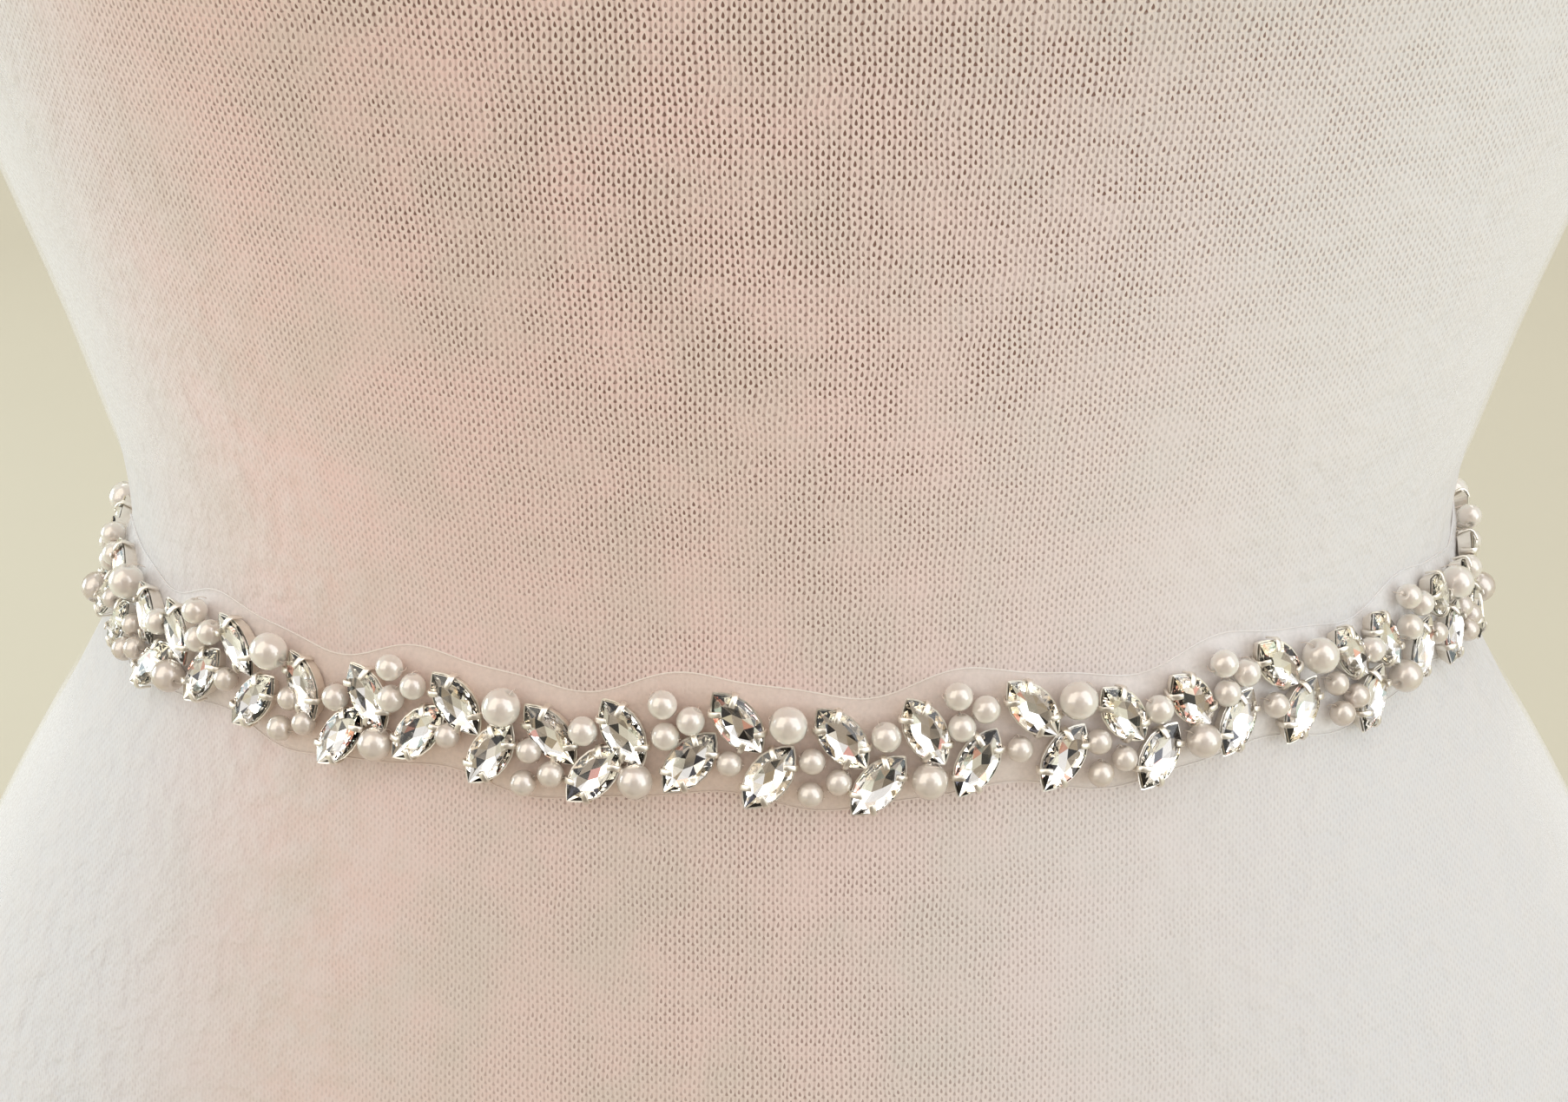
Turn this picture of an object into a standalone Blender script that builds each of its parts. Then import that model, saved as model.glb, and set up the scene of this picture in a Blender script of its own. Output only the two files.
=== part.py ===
"""A beaded bridal belt worn round the waist of a limbless dress form.

The belt is an organza strip whose outer side is raised into pearls and pointed oval stones, a
satin ribbon at each end, and two hooks and eyes at the centre back. The form stands on its flat
base. Metres, +Z up, the front of the form faces -Y, and the origin is the middle of the base.
"""

import math
from collections import namedtuple

import bmesh
import bpy
import numpy as np
from mathutils import Matrix, Vector

MM = 0.001

# The dress form: level sections from the base to the top of the neck, in mm.
Section = namedtuple("Section", "height half_width front back squareness")
FORM_SECTIONS = (
    Section(0, 163.0, 103.0, 118.0, 2.25),
    Section(35, 171.0, 110.0, 128.0, 2.25),
    Section(70, 174.5, 114.0, 131.0, 2.20),
    Section(105, 172.5, 115.0, 127.0, 2.15),
    Section(135, 166.5, 114.0, 117.0, 2.10),
    Section(165, 155.5, 110.0, 105.0, 2.05),
    Section(190, 142.5, 103.5, 96.0, 2.00),
    Section(215, 127.5, 95.0, 88.5, 2.00),
    Section(235, 117.3, 89.2, 85.0, 2.00),
    Section(255, 116.4, 88.4, 85.0, 2.00),
    Section(280, 122.6, 92.0, 89.0, 2.00),
    Section(305, 130.4, 97.0, 96.0, 2.05),
    Section(335, 140.0, 102.0, 103.0, 2.10),
    Section(365, 147.0, 107.0, 108.0, 2.15),
    Section(400, 151.5, 110.0, 110.0, 2.20),
    Section(435, 154.0, 106.0, 109.0, 2.25),
    Section(475, 157.0, 98.0, 106.0, 2.30),
    Section(515, 163.0, 88.0, 101.0, 2.30),
    Section(548, 169.0, 77.0, 93.0, 2.30),
    Section(570, 167.0, 68.0, 83.0, 2.25),
    Section(585, 153.0, 62.0, 74.0, 2.15),
    Section(598, 126.0, 58.0, 67.0, 2.05),
    Section(610, 92.0, 55.0, 61.0, 2.00),
    Section(622, 67.0, 53.5, 57.5, 2.00),
    Section(637, 57.0, 53.0, 55.5, 2.00),
    Section(665, 54.0, 53.5, 54.5, 2.00),
    Section(690, 55.0, 54.5, 55.5, 2.00),
)
FORM_HEIGHT = FORM_SECTIONS[-1].height
FORM_EDGE_RADIUS = 6.0
FORM_EDGE_STEPS = 2
FORM_SIDES = 32

# A general bust: one low mound either side of the centre front.
BUST_HEIGHT = 398.0
BUST_SPREAD = 80.0
BUST_DEPTH = 27.0
BUST_WIDE = 46.0
BUST_TALL = 33.0

# How far apart the form's rings lie. They are close where the belt touches.
RingRun = namedtuple("RingRun", "start end step")
RING_RUNS = (
    RingRun(12.0, 208.0, 28.0),
    RingRun(220.0, 256.0, 6.0),
    RingRun(268.0, 540.0, 27.2),
    RingRun(553.0, 637.0, 10.5),
    RingRun(658.0, 678.0, 20.0),
)

# How the belt lies: its middle at the centre front, and how it climbs to its left and its back.
WAIST_HEIGHT = 235.0
BELT_TILT = 1.3
BELT_RISE = 1.1

# The organza strip. Its edges wave once for each repeat of the stones.
CLEARANCE = 0.5
CLOTH = 1.0
SEAM_GAP = 0.3
REPEAT = 42.0
REPEATS = 9
FIRST_REPEAT = -4
STRIP_COLUMNS = 8
EDGE_WAVE = 1.75
EDGE_SKEW = 0.3
TOP_REACH = 8.8
TOP_CREST = -9.5
BOTTOM_REACH = 8.7
BOTTOM_CREST = TOP_CREST + REPEAT / 2

# The line between two repeats threads between the stones. Its ends follow the waved edges.
SeamPoint = namedtuple("SeamPoint", "up along")
SEAM = (
    SeamPoint(-8.5, 26.85),
    SeamPoint(-4.0, 26.80),
    SeamPoint(0.0, 26.40),
    SeamPoint(2.5, 25.28),
    SeamPoint(8.5, 24.75),
)

# One repeat of the beading, placed along the belt and up from its middle. Turn is in degrees.
Pearl = namedtuple("Pearl", "along up radius")
PEARLS = (
    Pearl(-14.80, 7.90, 2.15),
    Pearl(-10.70, 5.50, 2.10),
    Pearl(-14.30, 2.90, 2.15),
    Pearl(3.40, 4.95, 2.90),
    Pearl(16.65, 2.15, 2.20),
    Pearl(-5.20, -1.35, 2.00),
    Pearl(7.15, -1.40, 2.00),
    Pearl(10.85, -4.60, 2.00),
    Pearl(6.85, -6.40, 2.05),
    Pearl(23.70, -4.90, 2.70),
)
Stone = namedtuple("Stone", "along up turn")
STONES = (
    Stone(-3.95, 4.85, -48),
    Stone(10.85, 2.15, -51),
    Stone(22.15, 2.45, -57),
    Stone(-11.30, -2.40, 54),
    Stone(1.05, -3.50, 54),
    Stone(16.75, -5.40, 52),
)
PEARL_SIDES = 8
PEARL_RINGS = 4
STONE_HALF_LENGTH = 5.5
STONE_HALF_WIDTH = 2.8
STONE_ARC_SHARES = (-1.0, -0.6, 0.0, 0.6)
STONE_GIRDLE = 2.3
STONE_CROWN = 1.6
STONE_TABLE_SHARE = 0.55
SUNK = 0.2

# The ribbons and their closure.
RIBBON_WIDTH = 16.0
RIBBON_STEP = 7.0
BACK_OPENING = 4.0
HOOK_WIRE = 0.4
HOOK_LEVELS = {"top": 4.0, "bottom": -4.0}
WireBend = namedtuple("WireBend", "past up lift")
EYE_HALF = (
    WireBend(5.2, 1.3, 0.0),
    WireBend(3.8, 2.2, 0.0),
    WireBend(1.6, 1.5, 0.0),
    WireBend(0.2, 0.8, 0.0),
)
HOOK = (
    WireBend(-5.6, 0.0, 0.0),
    WireBend(-2.6, 0.0, 0.0),
    WireBend(-0.9, 0.0, -1.2),
    WireBend(0.6, 0.0, -1.2),
    WireBend(1.7, 0.0, -0.5),
    WireBend(1.9, 0.0, 0.5),
    WireBend(1.1, 0.0, 1.2),
    WireBend(-1.4, 0.0, 1.2),
)
WIRE_STEPS = 3

# Colour, roughness and metallic value of each finish.
COLOURS = {
    "form_cover": ((0.86, 0.81, 0.77, 1.0), 0.9, 0.0),
    "beaded_organza": ((0.88, 0.82, 0.75, 1.0), 0.4, 0.0),
    "satin": ((0.90, 0.86, 0.78, 1.0), 0.35, 0.0),
    "wire": ((0.75, 0.75, 0.76, 1.0), 0.2, 1.0),
}


# The form's skin

def section_size(height, column):
    """A section's size at any height: a smooth curve through the table's rows."""
    rows = FORM_SECTIONS
    height = min(max(height, rows[0].height), rows[-1].height)
    low = max(i for i in range(len(rows) - 1) if rows[i].height <= height)
    high = low + 1
    span = rows[high].height - rows[low].height
    t = (height - rows[low].height) / span

    def value(i):
        return getattr(rows[i], column)

    def slope(i):
        before, after = max(i - 1, 0), min(i + 1, len(rows) - 1)
        return (value(after) - value(before)) / (rows[after].height - rows[before].height)

    return (
        value(low) * (2 * t**3 - 3 * t**2 + 1)
        + value(high) * (3 * t**2 - 2 * t**3)
        + slope(low) * span * (t**3 - 2 * t**2 + t)
        + slope(high) * span * (t**3 - t**2)
    )


def form_point(angle, height, inset=0.0):
    """A point of the form's skin. Angle 0 is the centre front, and it turns towards +X."""
    power = 2 / section_size(height, "squareness")
    sine, cosine = math.sin(angle), math.cos(angle)
    half_width = section_size(height, "half_width") - inset
    depth = section_size(height, "front" if cosine > 0 else "back") - inset
    x = half_width * math.copysign(abs(sine) ** power, sine)
    y = -depth * math.copysign(abs(cosine) ** power, cosine)
    if cosine > 0:
        aside = (abs(x) - BUST_SPREAD) / BUST_WIDE
        above = (height - BUST_HEIGHT) / BUST_TALL
        y -= BUST_DEPTH * cosine * math.exp(-0.5 * (aside**2 + above**2))
    return Vector((x, y, height))


def form_normal(angle, height):
    """The outward direction of the form's skin."""
    turn, rise = 0.001, 0.1
    around = form_point(angle + turn, height) - form_point(angle - turn, height)
    upward = form_point(angle, height + rise) - form_point(angle, height - rise)
    return around.cross(upward).normalized()


def girth_table():
    """Distances round the middle of the cloth from the centre front, and their angles."""
    angles = np.linspace(-math.pi, math.pi, 1441)
    out = CLEARANCE + CLOTH / 2
    points = [form_point(a, WAIST_HEIGHT) + form_normal(a, WAIST_HEIGHT) * out for a in angles]
    steps = [(q - p).length for p, q in zip(points, points[1:])]
    along = np.concatenate([[0.0], np.cumsum(steps)])
    return along - along[-1] / 2, angles


ALONG, ANGLES = girth_table()
HALF_GIRTH = float(ALONG[-1])


def on_form(along, up, out):
    """A point of the belt: its distance along it, up from its middle, and out from the skin."""
    along = (along + HALF_GIRTH) % (2 * HALF_GIRTH) - HALF_GIRTH
    angle = float(np.interp(along, ALONG, ANGLES))
    level = WAIST_HEIGHT + BELT_TILT * math.sin(angle) + BELT_RISE * (1 - math.cos(angle))
    return form_point(angle, level + up) + form_normal(angle, level + up) * out


# Making objects

def finish(name):
    """The plain material of one kind of sub-part."""
    material = bpy.data.materials.get(name)
    if material is None:
        colour, roughness, metallic = COLOURS[name]
        material = bpy.data.materials.new(name)
        material.use_nodes = True
        shader = material.node_tree.nodes["Principled BSDF"]
        shader.inputs["Base Color"].default_value = colour
        shader.inputs["Roughness"].default_value = roughness
        shader.inputs["Metallic"].default_value = metallic
        material.diffuse_color = colour
    return material


def add_object(name, data, material, collection):
    data.materials.append(finish(material))
    collection.objects.link(bpy.data.objects.new(name, data))


def mesh_of(bm, name, scale=1.0):
    bmesh.ops.scale(bm, vec=(scale, scale, scale), verts=bm.verts)
    mesh = bpy.data.meshes.new(name)
    bm.to_mesh(mesh)
    bm.free()
    return mesh


def wall(columns, rows, place):
    """A closed wall. place(column, row, side) gives its points: side 0 inside and 1 outside."""
    bm = bmesh.new()
    centred = Matrix.Translation((0.5, 0.5, 0))
    bmesh.ops.create_grid(bm, x_segments=columns, y_segments=rows, size=0.5, matrix=centred)
    bm.normal_update()
    bmesh.ops.solidify(bm, geom=bm.faces[:], thickness=1)
    for vertex in bm.verts:
        across, upward, outward = vertex.co
        vertex.co = place(round(across * columns), round(upward * rows), round(outward) + 1)
    return bm


# The dress form

def form_rings():
    """Height and inset of each ring, rounded over at the base and at the neck's top."""
    turns = [math.pi / 2 * i / FORM_EDGE_STEPS for i in range(FORM_EDGE_STEPS + 1)]
    edge = [
        (FORM_EDGE_RADIUS * (1 - math.sin(t)), FORM_EDGE_RADIUS * (1 - math.cos(t)))
        for t in turns
    ]
    base = [(rise, inset) for rise, inset in reversed(edge)]
    top = [(FORM_HEIGHT - rise, inset) for rise, inset in edge]
    middle = []
    for run in RING_RUNS:
        count = round((run.end - run.start) / run.step) + 1
        middle += [(height, 0.0) for height in np.linspace(run.start, run.end, count)]
    return base + middle + top


def build_form(collection):
    """A loft through the rings, closed flat at the base and at the neck."""
    bm = bmesh.new()
    angles = [2 * math.pi * i / FORM_SIDES for i in range(FORM_SIDES)]
    rings = [
        [bm.verts.new(form_point(angle, height, inset)) for angle in angles]
        for height, inset in form_rings()
    ]
    for lower, upper in zip(rings, rings[1:]):
        for i in range(FORM_SIDES):
            j = (i + 1) % FORM_SIDES
            bm.faces.new((lower[i], lower[j], upper[j], upper[i]))
    bm.faces.new(rings[0][::-1])
    bm.faces.new(rings[-1])
    mesh = mesh_of(bm, "dress_form", MM)
    mesh.shade_smooth()
    add_object("dress_form", mesh, "form_cover", collection)


# The beaded strip

def edge_reach(along, reach, crest):
    """How far the organza reaches past the belt's middle: a wave that climbs slowly."""
    turn = 2 * math.pi * (along - crest) / REPEAT
    return reach + EDGE_WAVE * (math.cos(turn) - EDGE_SKEW * math.sin(2 * turn))


def flat_strip():
    """One repeat of the organza, laid flat: x is along the belt, y is up and z is outwards."""
    def place(column, row, side):
        along = SEAM[row].along + (REPEAT - SEAM_GAP) * (column / STRIP_COLUMNS - 1)
        along -= SEAM_GAP / 2
        up = SEAM[row].up
        if row == 0:
            up = -edge_reach(along, BOTTOM_REACH, BOTTOM_CREST)
        elif row == len(SEAM) - 1:
            up = edge_reach(along, TOP_REACH, TOP_CREST)
        return along, up, CLEARANCE + CLOTH * side

    return mesh_of(wall(STRIP_COLUMNS, len(SEAM) - 1, place), "flat_strip")


def pearl_mesh(radius):
    bm = bmesh.new()
    lift = Matrix.Translation((0, 0, CLEARANCE + CLOTH - SUNK + radius))
    bmesh.ops.create_uvsphere(
        bm, u_segments=PEARL_SIDES, v_segments=PEARL_RINGS, radius=radius, matrix=lift
    )
    return mesh_of(bm, "flat_pearl")


def stone_mesh():
    """A stone in its setting: a straight cup, then a crown that slopes in to a flat table."""
    arc = [(x, 1 - x * x) for x in STONE_ARC_SHARES]
    outline = arc + [(-x, -y) for x, y in arc]
    bm = bmesh.new()
    floor = CLEARANCE + CLOTH - SUNK
    corners = [
        bm.verts.new((x * STONE_HALF_LENGTH, y * STONE_HALF_WIDTH, floor)) for x, y in outline
    ]
    bottom = bm.faces.new(corners)
    face = bottom
    for rise, share in ((SUNK + STONE_GIRDLE, 1.0), (STONE_CROWN, STONE_TABLE_SHARE)):
        raised = bmesh.ops.extrude_face_region(bm, geom=[face])["geom"]
        top = [part for part in raised if isinstance(part, bmesh.types.BMVert)]
        bmesh.ops.translate(bm, vec=(0, 0, rise), verts=top)
        bmesh.ops.scale(bm, vec=(share, share, 1), verts=top)
        if face is not bottom:
            bmesh.ops.delete(bm, geom=[face], context="FACES_ONLY")
        face = next(part for part in raised if isinstance(part, bmesh.types.BMFace))
    bmesh.ops.recalc_face_normals(bm, faces=bm.faces)
    return mesh_of(bm, "flat_stone")


def hide_guide(guide):
    guide.hide_render = True
    guide.display_type = "WIRE"


def beaded_repeat(tools):
    """One flat repeat of the strip with its pearls and stones joined on, in triangles."""
    beads = bpy.data.collections.new("flat_beads")
    tools.children.link(beads)
    stone_shape = stone_mesh()
    for number, pearl in enumerate(PEARLS):
        bead = bpy.data.objects.new(f"flat_pearl_{number}", pearl_mesh(pearl.radius))
        bead.location = (pearl.along, pearl.up, 0)
        beads.objects.link(bead)
    for number, stone in enumerate(STONES):
        bead = bpy.data.objects.new(f"flat_stone_{number}", stone_shape)
        bead.location = (stone.along, stone.up, 0)
        bead.rotation_euler = (0, 0, math.radians(stone.turn))
        beads.objects.link(bead)
    strip = bpy.data.objects.new("flat_strip", flat_strip())
    tools.objects.link(strip)
    join = strip.modifiers.new("join_beads", "BOOLEAN")
    join.operation = "UNION"
    join.operand_type = "COLLECTION"
    join.collection = beads
    for guide in [strip, *beads.objects]:
        hide_guide(guide)
    bpy.context.view_layer.update()
    bm = bmesh.new()
    bm.from_object(strip, bpy.context.evaluated_depsgraph_get())
    bmesh.ops.triangulate(bm, faces=bm.faces)
    return bm


def build_beaded_strip(collection, tools):
    """Bends the flat repeat round the waist, once for each repeat."""
    flat = beaded_repeat(tools)
    for number in range(REPEATS):
        shift = (FIRST_REPEAT + number) * REPEAT
        bent = flat.copy()
        for vertex in bent.verts:
            along, up, out = vertex.co
            vertex.co = on_form(along + shift, up, out)
        name = f"beaded_strip_{number + 1}"
        add_object(name, mesh_of(bent, name, MM), "beaded_organza", collection)
    flat.free()


# The ribbons

def build_ribbon(name, sewn, free, collection):
    """A ribbon from its sewn end, which follows the strip's own end, to its free end."""
    columns = math.ceil(abs(free - sewn) / RIBBON_STEP)
    mean = sum(point.along for point in SEAM) / len(SEAM)
    start, stop = sorted((sewn, free))

    def place(column, row, side):
        share = column / columns
        lean = (SEAM[row].along - mean) * (1 - share if sewn < free else share)
        up = SEAM[row].up
        if row in (0, len(SEAM) - 1):
            up = math.copysign(RIBBON_WIDTH / 2, up)
        return on_form(start + (stop - start) * share + lean, up, CLEARANCE + CLOTH * side)

    bm = wall(columns, len(SEAM) - 1, place)
    add_object(name, mesh_of(bm, name, MM), "satin", collection)


def build_ribbons(collection):
    mean = sum(point.along for point in SEAM) / len(SEAM)
    strip_start = mean + (FIRST_REPEAT - 1) * REPEAT
    strip_end = strip_start + REPEATS * REPEAT
    half_gap = SEAM_GAP / 2
    opening = HALF_GIRTH - BACK_OPENING / 2
    build_ribbon("ribbon_right_hand", strip_start - half_gap, -opening, collection)
    build_ribbon("ribbon_left_hand", strip_end + half_gap, opening, collection)


# Hooks and eyes

def smooth_line(points):
    """A smooth curve through the points, which bends evenly at each."""
    line = []
    padded = [points[0], *points, points[-1]]
    for a, b, c, d in zip(padded, padded[1:], padded[2:], padded[3:]):
        for i in range(WIRE_STEPS):
            t = i / WIRE_STEPS
            line.append(
                0.5 * (2 * b + (c - a) * t + (2 * a - 5 * b + 4 * c - d) * t**2
                       + (3 * b - a - 3 * c + d) * t**3)
            )
    return [*line, points[-1]]


def build_wire(name, bends, level, collection):
    """A bent wire. Its bends are past the centre back, up from its level, and lifted."""
    lying = CLEARANCE + CLOTH + SEAM_GAP + HOOK_WIRE
    points = smooth_line([
        on_form(HALF_GIRTH + bend.past, level + bend.up, lying + bend.lift) for bend in bends
    ])
    curve = bpy.data.curves.new(name, "CURVE")
    curve.dimensions = "3D"
    spline = curve.splines.new("POLY")
    spline.points.add(len(points) - 1)
    for knot, point in zip(spline.points, points):
        knot.co = (*(point * MM), 1)
    curve.bevel_depth = HOOK_WIRE * MM
    curve.bevel_resolution = 1
    curve.use_fill_caps = True
    add_object(name, curve, "wire", collection)


def build_closure(collection):
    """Two wire hooks on one ribbon, each caught in an eye on the other."""
    eye = [*(bend._replace(up=-bend.up) for bend in EYE_HALF), *reversed(EYE_HALF)]
    for place, level in HOOK_LEVELS.items():
        build_wire(f"eye_{place}", eye, level, collection)
        build_wire(f"hook_{place}", HOOK, level, collection)


def main():
    for old in list(bpy.data.objects):
        bpy.data.objects.remove(old)
    scene = bpy.context.scene.collection
    belt = bpy.data.collections.new("bridal_belt_on_dress_form")
    tools = bpy.data.collections.new("flat_repeat")
    scene.children.link(belt)
    scene.children.link(tools)
    build_form(belt)
    build_beaded_strip(belt, tools)
    build_ribbons(belt)
    build_closure(belt)


main()
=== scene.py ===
"""Looks of a beaded bridal belt round the waist of a limbless dress form.

The knitted cover, the organza, each pearl and set stone, the satin ribbons and the closure are
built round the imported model, which stays the fixed frame. Shapes are worked out in mm and go into
their meshes in metres: +Z up, the form's front towards -Y.
"""

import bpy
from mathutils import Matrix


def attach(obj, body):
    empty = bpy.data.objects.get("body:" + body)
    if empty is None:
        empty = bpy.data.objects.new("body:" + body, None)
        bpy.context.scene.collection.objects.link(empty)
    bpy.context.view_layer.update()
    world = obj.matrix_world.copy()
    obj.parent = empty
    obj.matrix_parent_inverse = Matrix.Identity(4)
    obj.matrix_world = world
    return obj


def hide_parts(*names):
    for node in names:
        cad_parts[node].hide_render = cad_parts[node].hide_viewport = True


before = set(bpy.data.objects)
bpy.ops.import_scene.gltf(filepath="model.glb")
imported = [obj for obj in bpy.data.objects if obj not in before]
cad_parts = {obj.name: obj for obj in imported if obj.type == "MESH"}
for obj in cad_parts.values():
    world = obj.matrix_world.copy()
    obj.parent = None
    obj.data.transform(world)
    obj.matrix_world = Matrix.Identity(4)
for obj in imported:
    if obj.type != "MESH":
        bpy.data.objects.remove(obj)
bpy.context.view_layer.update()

import math
import random
from collections import namedtuple

import bmesh
import bpy
import numpy as np
from mathutils import Matrix, Vector, noise

bl_info = {
    "name": "Bridal belt on a dress form",
    "version": (1, 0, 0),
    "blender": (4, 5, 0),
    "location": "View3D > Sidebar > Bridal belt",
    "description": "Dresses the packed belt and dress form in cloth, pearls and stones",
    "category": "Object",
}

MM = 0.001

# The dress form's level sections, in mm, the same as in the part's source.
Section = namedtuple("Section", "height half_width front back squareness")
FORM_SECTIONS = [Section(*row) for row in (
    (0, 163.0, 103.0, 118.0, 2.25), (35, 171.0, 110.0, 128.0, 2.25), (70, 174.5, 114.0, 131.0, 2.20),
    (105, 172.5, 115.0, 127.0, 2.15), (135, 166.5, 114.0, 117.0, 2.10), (165, 155.5, 110.0, 105.0, 2.05),
    (190, 142.5, 103.5, 96.0, 2.00), (215, 127.5, 95.0, 88.5, 2.00), (235, 117.3, 89.2, 85.0, 2.00),
    (255, 116.4, 88.4, 85.0, 2.00), (280, 122.6, 92.0, 89.0, 2.00), (305, 130.4, 97.0, 96.0, 2.05),
    (335, 140.0, 102.0, 103.0, 2.10), (365, 147.0, 107.0, 108.0, 2.15), (400, 151.5, 110.0, 110.0, 2.20),
    (435, 154.0, 106.0, 109.0, 2.25), (475, 157.0, 98.0, 106.0, 2.30), (515, 163.0, 88.0, 101.0, 2.30),
    (548, 169.0, 77.0, 93.0, 2.30), (570, 167.0, 68.0, 83.0, 2.25), (585, 153.0, 62.0, 74.0, 2.15),
    (598, 126.0, 58.0, 67.0, 2.05), (610, 92.0, 55.0, 61.0, 2.00), (622, 67.0, 53.5, 57.5, 2.00),
    (637, 57.0, 53.0, 55.5, 2.00), (665, 54.0, 53.5, 54.5, 2.00), (690, 55.0, 54.5, 55.5, 2.00),
)]
FORM_HEIGHT = FORM_SECTIONS[-1].height
FORM_EDGE_RADIUS = 6.0
BUST_HEIGHT = 398.0
BUST_SPREAD = 80.0
BUST_DEPTH = 27.0
BUST_WIDE = 46.0
BUST_TALL = 33.0

# The belt's place on the form and the waves of its organza, as in the part's source, but the
# lower edge follows the photo more closely: it waves less and reaches 0.45 mm less far down.
WAIST_HEIGHT = 235.0
BELT_TILT = 1.3
BELT_RISE = 1.1
CLEARANCE = 0.5
CLOTH = 1.0
SEAM_GAP = 0.3
REPEAT = 42.0
REPEATS = 9
FIRST_REPEAT = -4
TOP_WAVE = 1.75
BOTTOM_WAVE = 1.15
EDGE_SKEW = 0.3
TOP_REACH = 8.8
TOP_CREST = -9.5
BOTTOM_REACH = 8.25
BOTTOM_CREST = TOP_CREST + REPEAT / 2
# The skew takes each wave's peak to 1.136.
STRIP_END = 25.996
RIBBON_WIDTH = 16.0
RIBBON_OVERLAP = 4.0
BACK_OPENING = 4.0

# How the cloth lies off the form's skin, in mm: the organza at its edges, how much higher under
# the beads and over what width it rises; the ribbon on the cover, how much higher over the organza,
# between which distances from its sewn end, and at its thicker selvedge.
ORGANZA_LIE = 0.24
ORGANZA_LIFT = 0.84
ORGANZA_SLOPE = (-0.2, 3.2)
RIBBON_LIE = 0.62
RIBBON_LIFT = 0.55
RIBBON_SLOPE = (7.0, 3.0)
RIBBON_SELVEDGE = 0.10

# Radius of the thread at the pearls and at the closure, in mm.
PEARL_THREAD = 0.07
CLOSURE_THREAD = 0.12

# One repeat of the beading, along the belt and up from its middle, in mm. Turn is in degrees.
Pearl = namedtuple("Pearl", "along up radius")
PEARLS = (
    Pearl(-14.80, 7.90, 2.15),
    Pearl(-10.70, 5.50, 2.10),
    Pearl(-14.30, 2.90, 2.15),
    Pearl(3.40, 4.95, 2.90),
    Pearl(16.65, 2.15, 2.20),
    Pearl(-5.20, -1.35, 2.00),
    Pearl(7.15, -1.40, 2.00),
    Pearl(10.85, -4.60, 2.00),
    Pearl(6.85, -6.40, 2.05),
    Pearl(23.70, -4.90, 2.70),
)
Stone = namedtuple("Stone", "along up turn")
STONES = (
    Stone(-3.95, 4.85, -48),
    Stone(10.85, 2.15, -51),
    Stone(22.15, 2.45, -57),
    Stone(-11.30, -2.40, 54),
    Stone(1.05, -3.50, 54),
    Stone(16.75, -5.40, 52),
)

# How far hand sewing moved the beads of the middle repeats, along and up, in mm. The others get
# a small seeded shift.
SEWN_SHIFTS = {
    "pearl_0": {-1: (-0.99, -0.28), 0: (-0.09, -1.23), 1: (0.65, -0.33), 2: (0.86, -0.77)},
    "pearl_3": {-2: (0.44, 0.80), -1: (-0.26, -0.68), 0: (-0.10, -0.86), 1: (0.30, 0.42),
                2: (0.72, -0.47)},
    "pearl_4": {-2: (0.32, -1.26), -1: (-1.20, -0.49), 0: (0.68, -0.37), 1: (0.13, -0.41)},
    "pearl_5": {-1: (-0.19, -0.36), 0: (0.11, -0.95), 1: (-0.02, -0.29), 2: (0.39, -0.50)},
    "pearl_6": {-2: (1.10, 0.03), -1: (0.38, -0.93), 0: (-0.45, -0.45), 1: (-0.35, -0.53),
                2: (0.76, -0.14)},
    "pearl_9": {-2: (1.75, -0.07), -1: (-0.05, -0.52), 0: (-0.49, -0.40), 1: (-0.55, 0.43)},
    "stone_0": {-2: (-0.41, -0.15), -1: (-0.74, -1.20), 0: (-0.19, -0.66), 1: (0.99, -0.31),
                2: (0.37, 0.19)},
    "stone_1": {-2: (-0.26, -0.74), -1: (-0.31, -1.27), 0: (0.11, -0.57), 1: (0.22, -0.05),
                2: (0.83, 0.45)},
    "stone_2": {-2: (0.39, -0.29), -1: (-0.68, -0.57), 0: (0.88, -0.28), 1: (0.25, 0.09),
                2: (-1.70, -0.10)},
    "stone_3": {-1: (1.05, 0.28), 0: (0.34, 0.05), 1: (-0.34, -0.65), 2: (-1.02, -0.64)},
    "stone_4": {-1: (0.59, 0.07), 0: (-0.41, -0.93), 1: (0.11, -0.11), 2: (-1.17, -0.21)},
    "stone_5": {-2: (2.12, 0.30), -1: (0.83, 0.42), 0: (-0.79, -0.19), 1: (-1.00, -0.30),
                2: (-1.80, -0.51)},
}
# Pearls that were sewn on as a group of three move together.
SEWN_TOGETHER = {1: 0, 2: 0, 7: 6, 8: 6}

# A set stone. Its outline is two arcs from tip to tip; heights are above the organza.
CUP_HALF_LENGTH = 5.85
CUP_HALF_WIDTH = 3.15
CUP_TAPER = 0.78
CUP_WALL = 0.24
CUP_TOP = 1.95
CUP_FLOOR = 0.02
CUP_FOOT = -0.15
OVAL_TAPER = 2.3
OVAL_FULLNESS = 0.9
StoneRing = namedtuple("StoneRing", "height size places")
TIP_TO_TIP = (-1.0, -0.68, -0.34, 0.0, 0.34, 0.68, 1.0)
STONE_RINGS = (
    StoneRing(1.18, 0.26, (-1.0, 0.0, 1.0)),
    StoneRing(1.52, 0.62, (-0.94, -0.55, -0.18, 0.18, 0.55, 0.94)),
    StoneRing(2.10, 1.00, TIP_TO_TIP),
    StoneRing(2.32, 1.00, TIP_TO_TIP),
    StoneRing(2.95, 0.62, (-0.97, -0.45, 0.45, 0.97)),
)
STONE_GIRDLE = 2.2
CLAW_PLACES = (-0.6, 0.6)
ClawStep = namedtuple("ClawStep", "out height half_width")
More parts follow.
